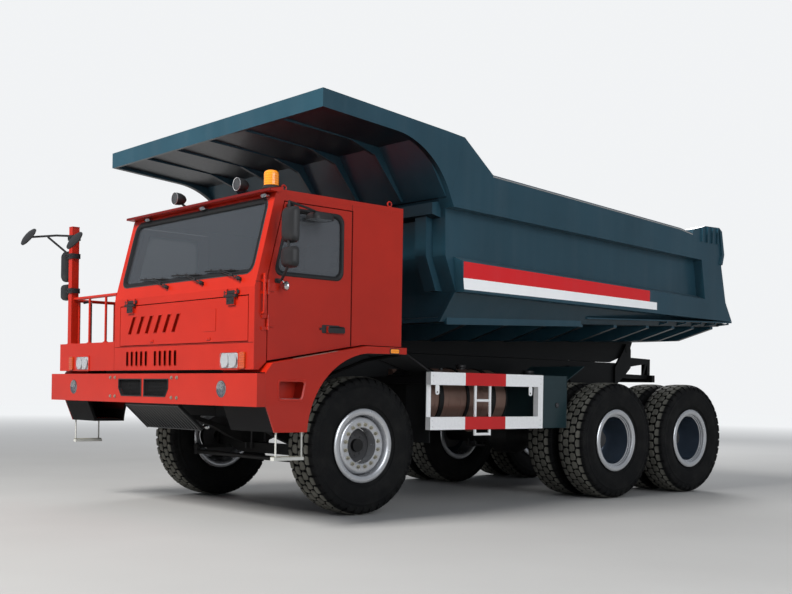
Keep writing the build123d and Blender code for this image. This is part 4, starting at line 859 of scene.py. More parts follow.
def rim_shell(centre, side):
    """Flanges and barrel of one rim."""
    h = rim_half
    outer = [(h + a, r) for a, r in gutter]
    inner = [(-h - a, r) for a, r in reversed(gutter)]
    well = [(0.06, bead - 0.012), (0.02, bead - 0.016), (-0.06, bead - 0.012)]
    back = [(-h, bead - 0.020), (-h + 0.03, bead - 0.026), (0, bead - 0.032),
            (h - 0.03, bead - 0.028)]
    disc(outer + well + inner + back, centre, side)


def nuts(centre, out, radius, count, size):
    """A ring of domed wheel nuts that face one way."""
    for t in turns(count, 0.5):
        base = centre + around(t) * radius
        shop.rod(base, base + out * 0.006, size * 1.25, 12)
        shop.rod(base, base + out * 0.022, size, 6)
        shop.rod(base + out * 0.020, base + out * 0.030, size * 0.62, 8, size * 0.4)


def hub_bolts(centre, out, radius, count, size):
    """A ring of bolts on a hub."""
    for t in turns(count, 0.5):
        shop.bolt(centre + around(t) * radius, out, size, size)


print("a rim is", round(rim_half * 2, 3), "m wide")

# %% Front rims and hubs
front_disc = [(0.030, bead - 0.022), (0.046, 0.290), (0.085, 0.281), (0.118, 0.275),
              (0.136, 0.267), (0.142, 0.255), (0.143, 0.240), (0.141, 0.186), (0.139, 0.176),
              (0.126, 0.1725), (0.030, 0.1725), (0.030, 0.1785), (0.118, 0.1795),
              (0.119, 0.250), (0.098, 0.263), (0.060, 0.273), (0.036, 0.284),
              (0.018, bead - 0.026)]
front_hub = [(0.082, 0.0), (0.082, 0.044), (0.074, 0.055), (0.046, 0.060), (0.040, 0.078),
             (0.036, 0.120), (0.028, 0.128), (0.026, 0.171), (0.000, 0.172), (-0.120, 0.170),
             (-0.130, 0.230), (-0.150, 0.230), (-0.150, 0.10), (-0.10, 0.080)]
for side, name in sides:
    out = Vector((side, 0, 0))
    centre = Vector((hub_at["front"][0] * side, axle_y, wheel_z))
    body = f"wheel_front_{name}"
    rim_shell(centre, side)
    disc(front_disc, centre, side)
    rim = shop.piece(f"front_rim_{name}", rim_silver, body, smooth=40)
    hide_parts(f"rim_front_{name}")
    nuts(centre + out * 0.139, out, 0.206, 16, 0.0165)
    valve = centre + Vector((0, 0.276, 0.05))
    shop.rod(valve + out * 0.05, valve + out * 0.115 + Vector((0, -0.008, -0.001)), 0.006, 10)
    shop.piece(f"front_nuts_{name}", zinc, body, smooth=30)
    shop.lathe(front_hub, centre, "X", 48, side)
    hub_bolts(centre + out * 0.038, out, 0.098, 10, 0.010)
    shop.piece(f"front_hub_{name}", cast_grey, body, smooth=40)
    # hand holes round the disc's wall, drawn as near-black discs of painted shade
    wall = centre + out * 0.088
    for t in turns(10, 0.25):
        shop.rod(wall + around(t) * 0.272, wall + around(t) * 0.2815, 0.0125, 14)
    shop.piece(f"hand_hole_shade_{name}", shade_and_seam_black, body, smooth=0)
print("front rims and hubs are built")

# %% Twin rims and hubs
twin_disc = [(0.215, bead - 0.022), (0.150, bead - 0.034), (0.070, 0.262), (0.030, 0.246),
             (0.018, 0.232), (0.013, 0.160), (0.002, 0.158), (0.002, 0.236), (0.022, 0.256),
             (0.080, 0.276), (0.205, bead - 0.030)]
# a stepped silver band leads from the flange to the dish, which is painted dark as the shade of
# its depth
mouth = twin + rim_half
band = [(mouth - a, bead - b) for a, b in
        ((0.004, 0.014), (0.008, 0.024), (0.022, 0.026), (0.025, 0.034), (0.040, 0.036),
         (0.043, 0.044), (0.050, 0.045), (0.056, 0.040), (0.060, 0.032), (0.030, 0.018))]
dish = [(mouth - 0.049, bead - 0.0445), (0.120, bead - 0.048), (0.070, 0.262), (0.034, 0.250),
        (0.018, 0.232), (0.013, 0.160), (0.008, 0.158), (0.008, 0.240), (0.060, 0.268),
        (mouth - 0.052, bead - 0.038)]
twin_hub = [(0.188, 0.0), (0.188, 0.070), (0.180, 0.082), (0.150, 0.086), (0.146, 0.112),
            (0.120, 0.122), (0.050, 0.128), (0.016, 0.150), (-0.020, 0.152), (-0.130, 0.150),
            (-0.14, 0.205), (-0.232, 0.205), (-0.234, 0.130)]
for place in ("mid", "rear"):
    for side, name in sides:
        out = Vector((side, 0, 0))
        centre = Vector((hub_at[place][0] * side, hub_at[place][1], wheel_z))
        body = f"wheels_{place}_{name}"
        rim_shell(centre + out * twin, side)
        rim_shell(centre - out * twin, -side)
        disc(band, centre, side)
        rim = shop.piece(f"{place}_rims_{name}", rim_silver, body, smooth=30)
        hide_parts(f"rims_{place}_{name}")
        # both dishes wear the dark paint that stands for shade
        disc(dish, centre, side)
        disc(twin_disc, centre, -side)
        shop.piece(f"{place}_dish_{name}", dish_shade_paint, body, smooth=40)
        nuts(centre + out * 0.014, out, 0.192, 20, 0.0155)
        shop.piece(f"{place}_nuts_{name}", zinc, body, smooth=30)
        shop.lathe(twin_hub, centre, "X", 48, side)
        hub_bolts(centre + out * 0.149, out, 0.099, 8, 0.009)
        shop.piece(f"{place}_hub_{name}", cast_grey, body, smooth=40)
print("twin rims and hubs are built")

# %% [markdown]
# ## Windscreen, visor and wipers
# The windscreen is one flat pane in a thick rubber seal. Above it a dark red visor lip
# carries three small marker lamps. Three wipers park along the pane's lower edge, all leaning
# the same way. The pane leans back, so its fittings are laid out in the pane's own plane: a
# distance across, a distance up the pane, and a distance out of it. That is easier to read
# than slanting coordinates.

# %% Windscreen
cab_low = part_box("cab_shell")[0]
crease = Vector((0, along(-1.600), 2.060))
upward = Vector((0, 0.2, 0.8)).normalized()
outward = Vector((0, -upward.z, upward.y))


def on_screen(x, rise, out=0.0):
    """A point by X, the distance up the raked front, and the distance out of it."""
    return crease + Vector((x, 0, 0)) + upward * rise + outward * out


def screen_rings(section):
    """Loops that follow the pane's outline, from (distance past its edge, distance out)."""
    shop.rings([[on_screen(a, b, out) for a, b in
                 rounded((-0.475 - grow, 0.145 - grow), (1.765 + grow, 0.775 + grow),
                         max(0.01, 0.07 + grow), 6)] for grow, out in section], capped=False)


screen_rings([(0.022, 0.001), (0.019, 0.006), (0.010, 0.009), (0.000, 0.008), (-0.010, 0.003),
              (-0.020, -0.010), (-0.021, -0.018)])
shop.piece("windscreen_seal", seal_rubber, smooth=50)
screen_rings([(0.030, 0.0005), (0.029, 0.003), (0.023, 0.0032), (0.022, 0.0005)])
shop.piece("windscreen_bead", bracket_paint, smooth=50)
print("windscreen is sealed")

# %% Wipers
for pivot, reach in ((0.42, 0.30), (1.03, 0.32), (1.63, 0.34)):
    shop.rod(on_screen(pivot, 0.075), on_screen(pivot, 0.075, 0.030), 0.016, 14)
    shop.rod(on_screen(pivot, 0.075, 0.024), on_screen(pivot, 0.075, 0.040), 0.021, 14, 0.014)
    elbow = on_screen(pivot - 0.10, 0.108, 0.034)
    tip = on_screen(pivot - reach, 0.172, 0.020)
    for shift in (-0.008, 0.008):
        shop.tube([on_screen(pivot + shift, 0.078 + shift, 0.034), elbow + upward * shift,
                   tip + upward * shift], 0.005, 8)
    shop.box(elbow - Vector((0.02, 0.010, 0.010)), elbow + Vector((0.02, 0.006, 0.014)))
    blade = [on_screen(pivot - reach - 0.27, 0.186, 0.004),
             on_screen(pivot - reach + 0.27, 0.158, 0.004)]
    shop.tube(blade, 0.006, 8)
    ridge = [p + outward * 0.012 for p in blade]
    shop.tube([ridge[0].lerp(ridge[1], s) for s in (0.06, 0.3, 0.5, 0.7, 0.94)], 0.0045, 6)
    for share in (0.2, 0.5, 0.8):
        spot = blade[0].lerp(blade[1], share)
        shop.box(spot - Vector((0.014, 0.004, 0.006)), spot + Vector((0.014, 0.002, 0.016)))
    shop.piece(f"wiper_{pivot * 100:.0f}", black_plastic, bevel=0.001, smooth=40)
print("wipers are parked")

# %% Visor, marker lamps, roof fittings
lip_y = along(-1.400)
shop.prism("X", [(lip_y - 0.078, 2.872), (lip_y - 0.078, 2.895), (lip_y + 0.058, 2.921),
                 (lip_y + 0.058, 2.916), (lip_y - 0.070, 2.889), (lip_y - 0.070, 2.872)],
           cab_low.x + 0.010, 1.895)
shop.piece("visor_lip", visor_paint, bevel=0.002)
for x in (-0.23, 0.78, 1.76):
    shop.plate("Y", (x - 0.038, 2.832), (x + 0.038, 2.862), 0.012, lip_y - 0.052, lip_y - 0.008)
    shop.piece(f"marker_base_{x * 100:.0f}", bright_steel, bevel=0.003)
    shop.plate("Y", (x - 0.030, 2.836), (x + 0.030, 2.859), 0.010, lip_y - 0.062, lip_y - 0.050)
    shop.piece(f"marker_lens_{x * 100:.0f}", clear_lens, bevel=0.002)
for x, station in ((1.76, -1.24), (1.80, -0.06), (-0.50, -1.24), (-0.50, -0.06)):
    foot = Vector((x, along(station), 2.899))
    shop.rod(foot, foot + Vector((0, 0, 0.016)), 0.020, 14)
    shop.tube([foot + Vector((0, 0, 0.039)) + around(t) * 0.024 for t in turns(14)], 0.007, 8,
              closed=True)
shop.piece("lifting_eyes", cab_paint, smooth=60)
roof = 2.8995
for x in (0.20, 1.10):
    shop.prism("X", [(along(-1.30), roof), (along(-1.30), 2.908), (along(-0.02), 2.908),
                     (along(-0.02), roof)], x, x + 0.04)
shop.plate("Z", (0.40, along(-0.95)), (0.94, along(-0.45)), 0.05, roof, 2.925)
shop.piece("roof_hatch", cab_paint, bevel=0.004)
print("roof is dressed")

# %% [markdown]
# ## Lamps
# A head lamp here is a square glass block in the cab's corner with silver bowls behind its
# clear lens and an orange strip beside it. Round fog lamps sit in the bumper and two work
# lamps stand on the roof. The beacon is an amber dome on a black foot. A flat bright disc
# would look dead from the side, so each bowl is turned hollow and catches the light.

# %% Head lamps and turn strips
corner_lamps = (("left", 1.378, 1.666, along(-1.600)), ("right", -1.413, -1.585, along(-1.592)))
for name, x0, _, face in corner_lamps:
    x1 = x0 + 0.270

    def block(edge, radius):
        """The lamp's outline, moved out or in from its glass block."""
        return rounded((x0 - edge, 1.370 - edge), (x1 + edge, 1.512 + edge), radius, 6)

    hole = block(-0.004, 0.020)
    rim = block(0.012, 0.026)
    shop.stack("Y", [(face - 0.0003, rim), (face - 0.006, rim), (face - 0.010, hole),
                     (face - 0.0003, hole)], capped=False)
    shop.piece(f"head_lamp_frame_{name}", cab_paint, bevel=0.001)
    for centre in (x0 + 0.073, x0 + 0.197):
        shop.lathe([(0.001, 0.0), (0.002, 0.012), (0.003, 0.030), (0.008, 0.045), (0.016, 0.056),
                    (0.020, 0.060), (0.0185, 0.060)], (centre, face, 1.441), "Y", 32, -1)
    shop.plate("Y", (x0 + 0.004, 1.376), (x1 - 0.004, 1.506), 0.02, face - 0.0045, face - 0.001, 6)
    shop.piece(f"head_lamp_bowl_{name}", reflector, smooth=60)
    shop.stack("Y", [(face - 0.0216, rounded((x0 + 0.003, 1.375), (x1 - 0.003, 1.507), 0.020, 6)),
                     (face - 0.024, rounded((x0 + 0.006, 1.378), (x1 - 0.006, 1.504), 0.018, 6))])
    shop.piece(f"head_lamp_lens_{name}", clear_lens, smooth=40)
for name, _, x, face in corner_lamps:
    shop.plate("Y", (x, 1.371), (x + 0.082, 1.511), 0.014, face - 0.015, face - 0.0006)
    for i in range(9):
        z = 1.384 + i * 0.0145
        shop.plate("Y", (x + 0.008, z), (x + 0.074, z + 0.008), 0.003, face - 0.018, face - 0.014,
                   3)
    shop.piece(f"turn_strip_{name}", orange_strip, bevel=0.0015)
print("head lamps are built")

# %% Fog lamps and roof lamps
bumper_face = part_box("bumper")[0].y
for name, x in (("left", 1.42), ("right", -1.42)):
    spot = (x, bumper_face, 1.195)
    shop.lathe([(-0.028, 0.0), (-0.026, 0.020), (-0.018, 0.040), (-0.004, 0.054), (0.002, 0.060),
                (0.004, 0.063), (0.006, 0.070), (0.003, 0.074), (0.0, 0.0745), (-0.012, 0.0655),
                (-0.030, 0.0650)], spot, "Y", 40, -1)
    shop.lathe([(-0.020, 0.0), (-0.008, 0.010), (-0.006, 0.022), (-0.020, 0.026)], spot, "Y", 24,
               -1)
    shop.piece(f"fog_lamp_bowl_{name}", lamp_bowl, smooth=50)
    shop.lathe([(0.008, 0.0), (0.007, 0.020), (0.004, 0.042), (-0.002, 0.058), (-0.004, 0.058),
                (-0.004, 0.0)], spot, "Y", 40, -1)
    shop.piece(f"fog_lamp_lens_{name}", clear_lens, smooth=50)
for x in (0.27, 1.33):
    spot = (x, along(-1.44), 3.0)
    shop.lathe([(0.0, 0.048), (0.002, 0.056), (-0.014, 0.059), (-0.060, 0.056), (-0.100, 0.040),
                (-0.120, 0.018), (-0.124, 0.0)], spot, "Y", 32, -1)
    shop.rod((x, along(-1.315), 2.9004), (x, along(-1.315), 2.912), 0.034, 18)
    shop.tube([(x, along(-1.315), 2.91), (x, along(-1.315), 2.935), (x, along(-1.36), 2.958)],
              0.011, 10)
    lamp_piece = shop.piece(f"roof_lamp_{x * 100:.0f}", black_plastic, smooth=45)
    shop.lathe([(-0.030, 0.0), (-0.026, 0.018), (-0.012, 0.038), (-0.002, 0.047), (0.0, 0.052),
                (0.004, 0.058), (-0.002, 0.058)], spot, "Y", 32, -1)
    shop.piece(f"roof_lamp_bowl_{x * 100:.0f}", reflector, smooth=50)
    shop.lathe([(0.006, 0.0), (0.004, 0.026), (0.0, 0.046), (-0.003, 0.047), (-0.003, 0.0)],
               spot, "Y", 32, -1)
    shop.piece(f"roof_lamp_lens_{x * 100:.0f}", clear_lens, smooth=50)
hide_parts("front_lamps")
print("fog lamps and roof lamps are built")

# %% Beacon and tail lamps
beacon = Vector((1.70, along(-1.330), 2.9204))
shop.lathe([(0.0, 0.0), (0.0, 0.082), (0.010, 0.082), (0.018, 0.074), (0.030, 0.070),
            (0.034, 0.0)], beacon, "Z", 40)
for t in turns(3):
    shop.bolt(beacon + Vector((0.070 * math.cos(t), 0.070 * math.sin(t), 0.012)), (0, 0, 1),
              0.006, 0.005)
shop.piece("beacon_foot", black_plastic, smooth=40)
dome = [(0.034, 0.0), (0.034, 0.064)]
for i in range(10):
    dome += [(0.042 + i * 0.0095, 0.0655), (0.0465 + i * 0.0095, 0.0635)]
dome += [(0.142, 0.0625), (0.154, 0.057), (0.163, 0.042), (0.168, 0.020), (0.1695, 0.0)]
shop.lathe(dome, beacon, "Z", 48)
beacon_dome = shop.piece("beacon_dome", amber_lens, smooth=60)
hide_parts("amber_lamps")
tail_low, tail_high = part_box("tail_lamps")
for side in (-1, 1):
    for x0, x1, material, name in ((0.215, 0.148, clear_lens, "clear"),
                                   (0.144, 0.076, amber_lens, "amber"),
                                   (0.072, 0.005, red_lens, "red")):
        a, b = sorted((side * (tail_high.x - x0), side * (tail_high.x - x1)))
        shop.plate("Y", (a, tail_low.z + 0.008), (b, tail_high.z - 0.008), 0.008,
                   tail_high.y - 0.014, tail_high.y - 0.001)
        shop.piece(f"tail_lens_{name}_{side}", material, bevel=0.003)
    a, b = sorted((side * (tail_high.x - 0.220), side * tail_high.x))
    shop.plate("Y", (a, tail_low.z), (b, tail_high.z), 0.010, tail_low.y, tail_high.y - 0.013)
    for z in (tail_low.z + 0.012, tail_high.z - 0.012):
        for x in (a + 0.012, b - 0.012):
            shop.bolt((x, tail_high.y - 0.014, z), (0, 1, 0), 0.004, 0.003, washer=False)
    box_piece = shop.piece(f"tail_lamp_box_{side}", black_plastic, bevel=0.002)
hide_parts("tail_lamps")
print("beacon and tail lamps are built")

# %% [markdown]
# ## The face of the cab
# Dark gaps sit behind the hatch's slanting vents and the slots below it. The openings are
# in the CAD solids; a pressed lip round each and a near-black sheet of painted shade behind
# it give them depth, which is simpler than modelling what lies inside. Black strap hinges
# carry the hatch, and two openings with mesh sit in the bumper between eight bolts.

# %% Vents, slots and hinges
skin_y = along(-1.600)
# a near-black sheet behind the vents is painted shade
shop.box((-0.40, skin_y + 0.030, 1.695), (0.78, skin_y + 0.0385, 1.900))
shop.piece("hatch_vent_gauze", shade_and_seam_black, "front_hatch", smooth=0)
for index in range(6):
    foot = -0.300 + index * 0.165
    ring = [(foot, 1.715), (foot + 0.055, 1.715), (foot + 0.155, 1.880), (foot + 0.100, 1.880)]
    middle = (foot + 0.0775, 1.7975)
    outer, inner = about(middle, ring, 1.16, 1.07), about(middle, ring, 0.97, 0.99)
    shop.stack("Y", [(skin_y - 0.0002, outer), (skin_y - 0.002, outer), (skin_y - 0.004, inner),
                     (skin_y + 0.020, inner)], capped=False)
shop.piece("hatch_vent_lips", cab_paint, "front_hatch", bevel=0.001)
# near-black sheets behind the slots are painted shade
for first_x in (-0.330, 0.210):
    shop.box((first_x - 0.01, skin_y + 0.045, 1.392), (first_x + 0.42, skin_y + 0.055, 1.553))
shop.piece("slot_gauze", shade_and_seam_black, smooth=0)
for first_x in (-0.330, 0.210):
    for index in range(5):
        x = first_x + index * 0.092
        shop.stack("Y", [(skin_y - out, rounded((x - g, 1.400 - g), (x + 0.042 + g, 1.545 + g),
                                                0.012 + g / 2, 4))
                         for g, out in ((0.006, 0.0002), (0.006, 0.0018), (0.0, 0.0030),
                                        (0.0, -0.02))], capped=False)
shop.piece("slot_lips", cab_paint, bevel=0.0005)
hinges = (-0.24, 1.53)
pin_y, pin_z = skin_y - 0.016, 1.994
for x in hinges:
    shop.plate("Y", (x - 0.115, pin_z + 0.017), (x + 0.115, pin_z + 0.047), 0.006,
               skin_y - 0.012, skin_y - 0.0003, 3)
    for a in (-0.075, 0.075):
        shop.bolt((x + a, skin_y - 0.012, pin_z + 0.032), (0, -1, 0), 0.007, 0.006)
    for a in (x - 0.092, x + 0.066):
        shop.rod((a, pin_y, pin_z), (a + 0.026, pin_y, pin_z), 0.0150, 18)
shop.piece("hatch_hinge_fixed", black_plastic, bevel=0.0015)
for x in hinges:
    shop.rod((x - 0.0595, pin_y, pin_z), (x + 0.0595, pin_y, pin_z), 0.0150, 18)
    shop.box((x - 0.058, skin_y - 0.0225, pin_z - 0.072),
             (x + 0.058, skin_y - 0.019, pin_z - 0.006))
    for a in (x - 0.036, x + 0.036):
        shop.bolt((a, skin_y - 0.022, pin_z - 0.045), (0, -1, 0), 0.008, 0.006)
shop.piece("hatch_hinge_moving", black_plastic, "front_hatch", bevel=0.0015)
for x in (0.16, 1.16):
    shop.plate("Y", (x - 0.035, 1.622), (x + 0.035, 1.650), 0.010, skin_y - 0.006,
               skin_y - 0.0003, 4)
    shop.rod((x, skin_y - 0.004, 1.636), (x, skin_y - 0.010, 1.636), 0.009, 16)
shop.piece("hatch_catches", cab_paint, "front_hatch", bevel=0.002)
shop.plate("Y", (1.06, 1.700), (1.28, 1.900), 0.012, skin_y - 0.004, skin_y - 0.0003, 4)
shop.piece("blank_badge_plate", cab_paint, "front_hatch", bevel=0.0015)
print("hatch is dressed")

# %% Bumper grilles and bolts
for side in (-1, 1):
    points = [(0.045 + side * x, z) for x, z in ((0.030, 1.272), (0.475, 1.272), (0.475, 1.190),
                                                 (0.420, 1.120), (0.030, 1.120))]
    middle = [sum(p[i] for p in points) / len(points) for i in (0, 1)]
    shop.stack("Y", [(bumper_face - out, about(middle, points, kx, kz)) for kx, kz, out in
                     ((1.045, 1.12, 0.0003), (1.045, 1.12, 0.003), (0.99, 0.985, 0.005),
                      (0.98, 0.97, -0.024))], capped=False)
shop.piece("bumper_opening_lips", black_plastic, bevel=0.001)
for i in range(13):
    z = 1.118 + i * 0.0128
    shop.tube([(-0.43, bumper_face + 0.020, z), (0.52, bumper_face + 0.020, z)], 0.0017, 6)
for i in range(75):
    x = -0.43 + i * 0.0128
    shop.tube([(x, bumper_face + 0.0225, 1.118), (x, bumper_face + 0.0225, 1.274)], 0.0017, 4)
shop.piece("bumper_mesh", black_plastic, smooth=0)
for x in (-0.60, -0.505, 0.585, 0.68):
    for z in (1.292, 1.108):
        shop.rod((x, bumper_face + 0.001, z), (x, bumper_face - 0.003, z), 0.017, 18)
        shop.bolt((x, bumper_face - 0.002, z), (0, -1, 0), 0.0125, 0.010, washer=False)
shop.piece("bumper_bolts", zinc, bevel=0.001)
for x in (-1.9605, 1.9575):
    shop.box((x, bumper_face + 0.02, 1.066), (x + 0.003, bumper_face + 0.085, 1.314))
for x in (-0.9, 0.9):
    shop.box((x - 0.006, bumper_face + 0.0305, 1.06), (x + 0.006, bumper_face + 0.085, 1.32))
shop.piece("bumper_ribs", cab_paint, bevel=0.002)
print("bumper is dressed")

# %% [markdown]
# ## Radiator guard and underside of the nose
# Below the bumper a guard of slanting bars keeps stones from the radiator. The bars could be
# cut out of a plate; round ones stretched between its two edges look truer and need only two
# points each. The plain CAD sheet stays as their backing.

# %% Radiator guard
guard_low, guard_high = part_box("radiator_guard")
top = Vector((0, guard_low.y + 0.010, 1.036))
foot = Vector((0, guard_low.y + 0.262, 0.806))
slope = (foot - top).normalized()
normal = Vector((0, slope.z, -slope.y))
left_x, right_x = guard_high.x - 0.004, guard_low.x + 0.004
for i in range(18):
    across = Vector((right_x + 0.03 + (left_x - right_x - 0.06) * i / 17, 0, 0)) + normal * 0.004
    shop.tube([top + across, foot + across - slope * 0.012], 0.0085, 10)
shop.piece("radiator_guard_bars", bracket_paint, smooth=50)
for spot in (0.0, 0.97):
    p = top.lerp(foot, spot) + normal * 0.010
    shop.tube([p + Vector((right_x, 0, 0)), p + Vector((left_x, 0, 0))], 0.0065, 8)
for x in (right_x, left_x):
    low, high = Vector((x, 0, 0)) - normal * 0.012, Vector((x, 0, 0)) + normal * 0.018
    shop.sheet([top + low, foot + low, foot + high, top + high], 0.004)
shop.piece("radiator_guard_rim", bracket_paint, smooth=50)
tap = foot + Vector((left_x, 0.010, 0.030))
shop.rod(tap - Vector((0.01, 0, 0)), tap + Vector((0.075, 0, 0)), 0.011, 14)
shop.lathe([(0.0, 0.0), (0.0, 0.020), (0.016, 0.020), (0.020, 0.013), (0.032, 0.013),
            (0.034, 0.0)], tap + Vector((0.065, 0, 0)), "X", 20)
shop.piece("drain_tap", bright_steel, smooth=40)
print("guard is dressed")

# %% [markdown]
# ## Doors
# Each door has a window in a black rubber seal, and a sunk handle with a black flap and a
# lock. The seal could be a bevelled curve, but a skin over loops that follow the pane's
# outline gives its lip directly. Small painted fillets round the pane's square corners. A
# red grab rail stands ahead of the left door.

# %% Door details
rake = 0.25
low_z, high_z = 2.185, 2.740
front, back = along(-1.390), along(-0.670)
lean = rake * (high_z - low_z)
middle = ((front + back + lean) / 2, (low_z + high_z) / 2)
r = 0.075


def corner(cy, cz, start, skew):
    """One rounded corner of the window; a skewed one leans back with the cab's face."""
    return [(y + skew * (z - low_z), z) for y, z in arc((cy, cz), r, start, start + 90, 6)]


outline = (corner(back - r, high_z - r, 0, 0) + corner(front + r, high_z - r, 90, rake)
           + corner(front + r, low_z + r, 180, rake) + corner(back - r, low_z + r, 270, 0))
square = [(back, high_z), (front + lean, high_z), (front, low_z), (back, low_z)]
for side, name in sides:
    body = f"door_{name}"
    skin = 1.870 if side > 0 else -0.580
    shop.stack("X", [(skin + side * out, about(middle, outline, 1 + 2 * grow / (back - front),
                                               1 + 2 * grow / (high_z - low_z)))
                     for grow, out in ((0.020, 0.0006), (0.017, 0.006), (0.006, 0.008),
                                       (-0.006, 0.004), (-0.020, -0.014), (-0.020, -0.019))],
               capped=False)
    shop.piece(f"door_seal_{name}", seal_rubber, body, smooth=60)
    # fillets that close the pane's square corners
    for k, point in enumerate(square):
        shop.prism("X", [point] + outline[k * 6:(k + 1) * 6], skin - side * 0.0005,
                   skin - side * 0.019)
    shop.piece(f"door_corners_{name}", cab_paint, body, smooth=0)
    # handle: a sunk cup with a black flap
    y0, y1 = along(-0.885), along(-0.690)
    cup = rounded((y0 - 0.004, 1.698), (y1 + 0.004, 1.772), 0.014)
    shop.stack("X", [(skin + side * 0.0005, cup), (skin + side * 0.003, cup),
                     (skin + side * 0.004, rounded((y0 + 0.004, 1.706), (y1 - 0.004, 1.764),
                                                   0.010))])
    shop.piece(f"door_handle_cup_{name}", black_plastic, body, bevel=0.001)
    a, b = sorted((skin + side * 0.0235, skin + side * 0.0275))
    shop.plate("X", (along(-0.835), 1.702), (along(-0.645), 1.758), 0.014, a, b)
    shop.plate("X", (along(-0.825), 1.748), (along(-0.655), 1.762), 0.006, a, b)
    shop.rod((skin + side * 0.004, along(-0.905), 1.735),
             (skin + side * 0.010, along(-0.905), 1.735), 0.012, 18)
    shop.piece(f"door_handle_{name}", black_plastic, body, bevel=0.002)
# grab rail ahead of the left door
x, top_z = 1.905, 2.165
shop.tube([(1.870, along(-1.525), 1.835), (x, along(-1.525), 1.845),
           (x, along(-1.525), top_z - 0.01), (1.870, along(-1.500), top_z)], 0.0125, 12)
for z, station in ((1.835, -1.525), (top_z, -1.500)):
    shop.rod((1.8703, along(station), z), (1.875, along(station), z), 0.024, 18)
shop.piece("grab_rail_left", cab_paint, smooth=60)
print("doors are dressed")

# %% [markdown]
# ## Seams
# Panels are cut with a saw's width between them. A seam that doesn't open is filled with
# sealer, so a thin dark strip stands for it, and the solids stay whole.

# %% Panel seams
shop.box((-0.575, skin_y - 0.0009, 1.5885), (1.865, skin_y + 0.002, 1.5925))
shop.box((1.868, along(-0.565), 1.60), (1.8712, along(-0.561), 2.86))
shop.box((1.868, along(-1.595), 2.100), (1.8712, along(-1.478), 2.1035))
shop.piece("panel_seams", shade_and_seam_black, smooth=0)
print("seams are drawn")

# %% [markdown]
# ## Mirrors
# The left door carries a tall main mirror with a wide-angle mirror below it on one black
# rail, a kerb mirror over the window and a small round one. On the right the mirrors hang
# from a red mast on the walkway, since the cab is only half as wide as the truck. A housing
# is outlines stacked along its depth, each drawn in a little more, which gives a rounded
# shell without sculpting; the glass sits a few millimetres inside its rim.

# %% Left mirrors
def housing(low, high, radius, depth, face):
    """A rounded shell from a flat rim, bulging ahead of it along Y."""
    middle = ((low[0] + high[0]) / 2, (low[1] + high[1]) / 2)
    rim = rounded(low, high, radius, 6)
    shop.stack("Y", [(face - 0.006, about(middle, rim, 0.93, 0.96))] +
               [(face - depth * share, about(middle, rim, shrink)) for share, shrink in
                ((0.0, 1.0), (0.25, 1.0), (0.6, 0.95), (0.85, 0.82), (1.0, 0.55))])


def glass_plate(low, high, radius, face, name, body="chassis"):
    """The silvered pane inside a housing's rim."""
    middle = ((low[0] + high[0]) / 2, (low[1] + high[1]) / 2)
    pane = about(middle, rounded(low, high, radius, 6), 0.92, 0.95)
    shop.prism("Y", pane, face - 0.008, face - 0.002)
    shop.piece(name, mirror_glass, body, bevel=0.001)


outer_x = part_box("side_mirrors")[1].x
pole_x, pole_y = outer_x - 0.090, along(-1.405)
rim_y = along(-1.360)
left_panes = {"main": ((outer_x - 0.180, 2.425), (outer_x - 0.001, 2.728)),
              "wide": ((outer_x - 0.180, 2.217), (outer_x - 0.001, 2.393))}
for low, high in left_panes.values():
    housing(low, high, 0.045, 0.079, rim_y)
shop.tube([(pole_x, pole_y, 2.225), (pole_x, pole_y, 2.765)], 0.012, 12)
for z, skin_z, y in ((2.765, 2.765, along(-1.26)), (2.235, 2.120, along(-1.37))):
    shop.tube([(1.8795, y, skin_z), (1.93, y, skin_z + 0.004), (pole_x, pole_y, z)], 0.012, 12)
    shop.plate("X", (y - 0.029, skin_z - 0.019), (y + 0.029, skin_z + 0.019), 0.012, 1.8706,
               1.8800)
    for shift in (-0.018, 0.018):
        shop.bolt((1.880, y + shift, skin_z), (1, 0, 0), 0.006, 0.004, washer=False)
for z in (2.46, 2.69, 2.25, 2.36):
    shop.box((pole_x - 0.022, along(-1.424), z - 0.012),
             (pole_x + 0.022, along(-1.388), z + 0.012))
# kerb mirror, hung level over the window
shop.tube([(pole_x, pole_y, 2.765), (outer_x - 0.120, along(-1.22), 2.745),
           (outer_x - 0.160, along(-1.05), 2.722)], 0.011, 12)
kerb = rounded((outer_x - 0.268, along(-1.128)), (outer_x - 0.092, along(-0.902)), 0.05, 6)
kerb_middle = (outer_x - 0.180, along(-1.015))
shop.stack("Z", [(z, about(kerb_middle, kerb, k)) for k, z in
                 ((0.93, 2.668), (1.0, 2.662), (1.0, 2.682), (0.93, 2.705), (0.70, 2.722))])
mirrors = shop.piece("left_mirror_shells", black_plastic, "door_left", smooth=50)
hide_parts("side_mirrors")
for name, (low, high) in left_panes.items():
    glass_plate(low, high, 0.045, rim_y, f"left_mirror_{name}", "door_left")
shop.prism("Z", about(kerb_middle, kerb, 0.91), 2.664, 2.669)
shop.piece("left_mirror_kerb", mirror_glass, "door_left")
# small round mirror on the lower arm
small = Vector((1.935, along(-1.325), 2.075))
shop.tube([(1.93, along(-1.37), 2.125), (1.935, along(-1.345), 2.10), small], 0.006, 8)
shop.lathe([(0.0, 0.0), (0.004, 0.038), (0.0, 0.042), (-0.006, 0.042), (-0.022, 0.034),
            (-0.032, 0.016), (-0.034, 0.0)], small, "Y", 28)
shop.piece("left_mirror_small_shell", bright_steel, "door_left", smooth=50)
print("left mirrors reach to", round(outer_x, 3))

# %% Mirrors on the mast
mast_x, mast_y = -1.620, along(-1.550)
arm_z = 2.810
tilt = math.radians(55)
axis = Vector((0, -math.sin(tilt), math.cos(tilt)))
glass = Workshop()


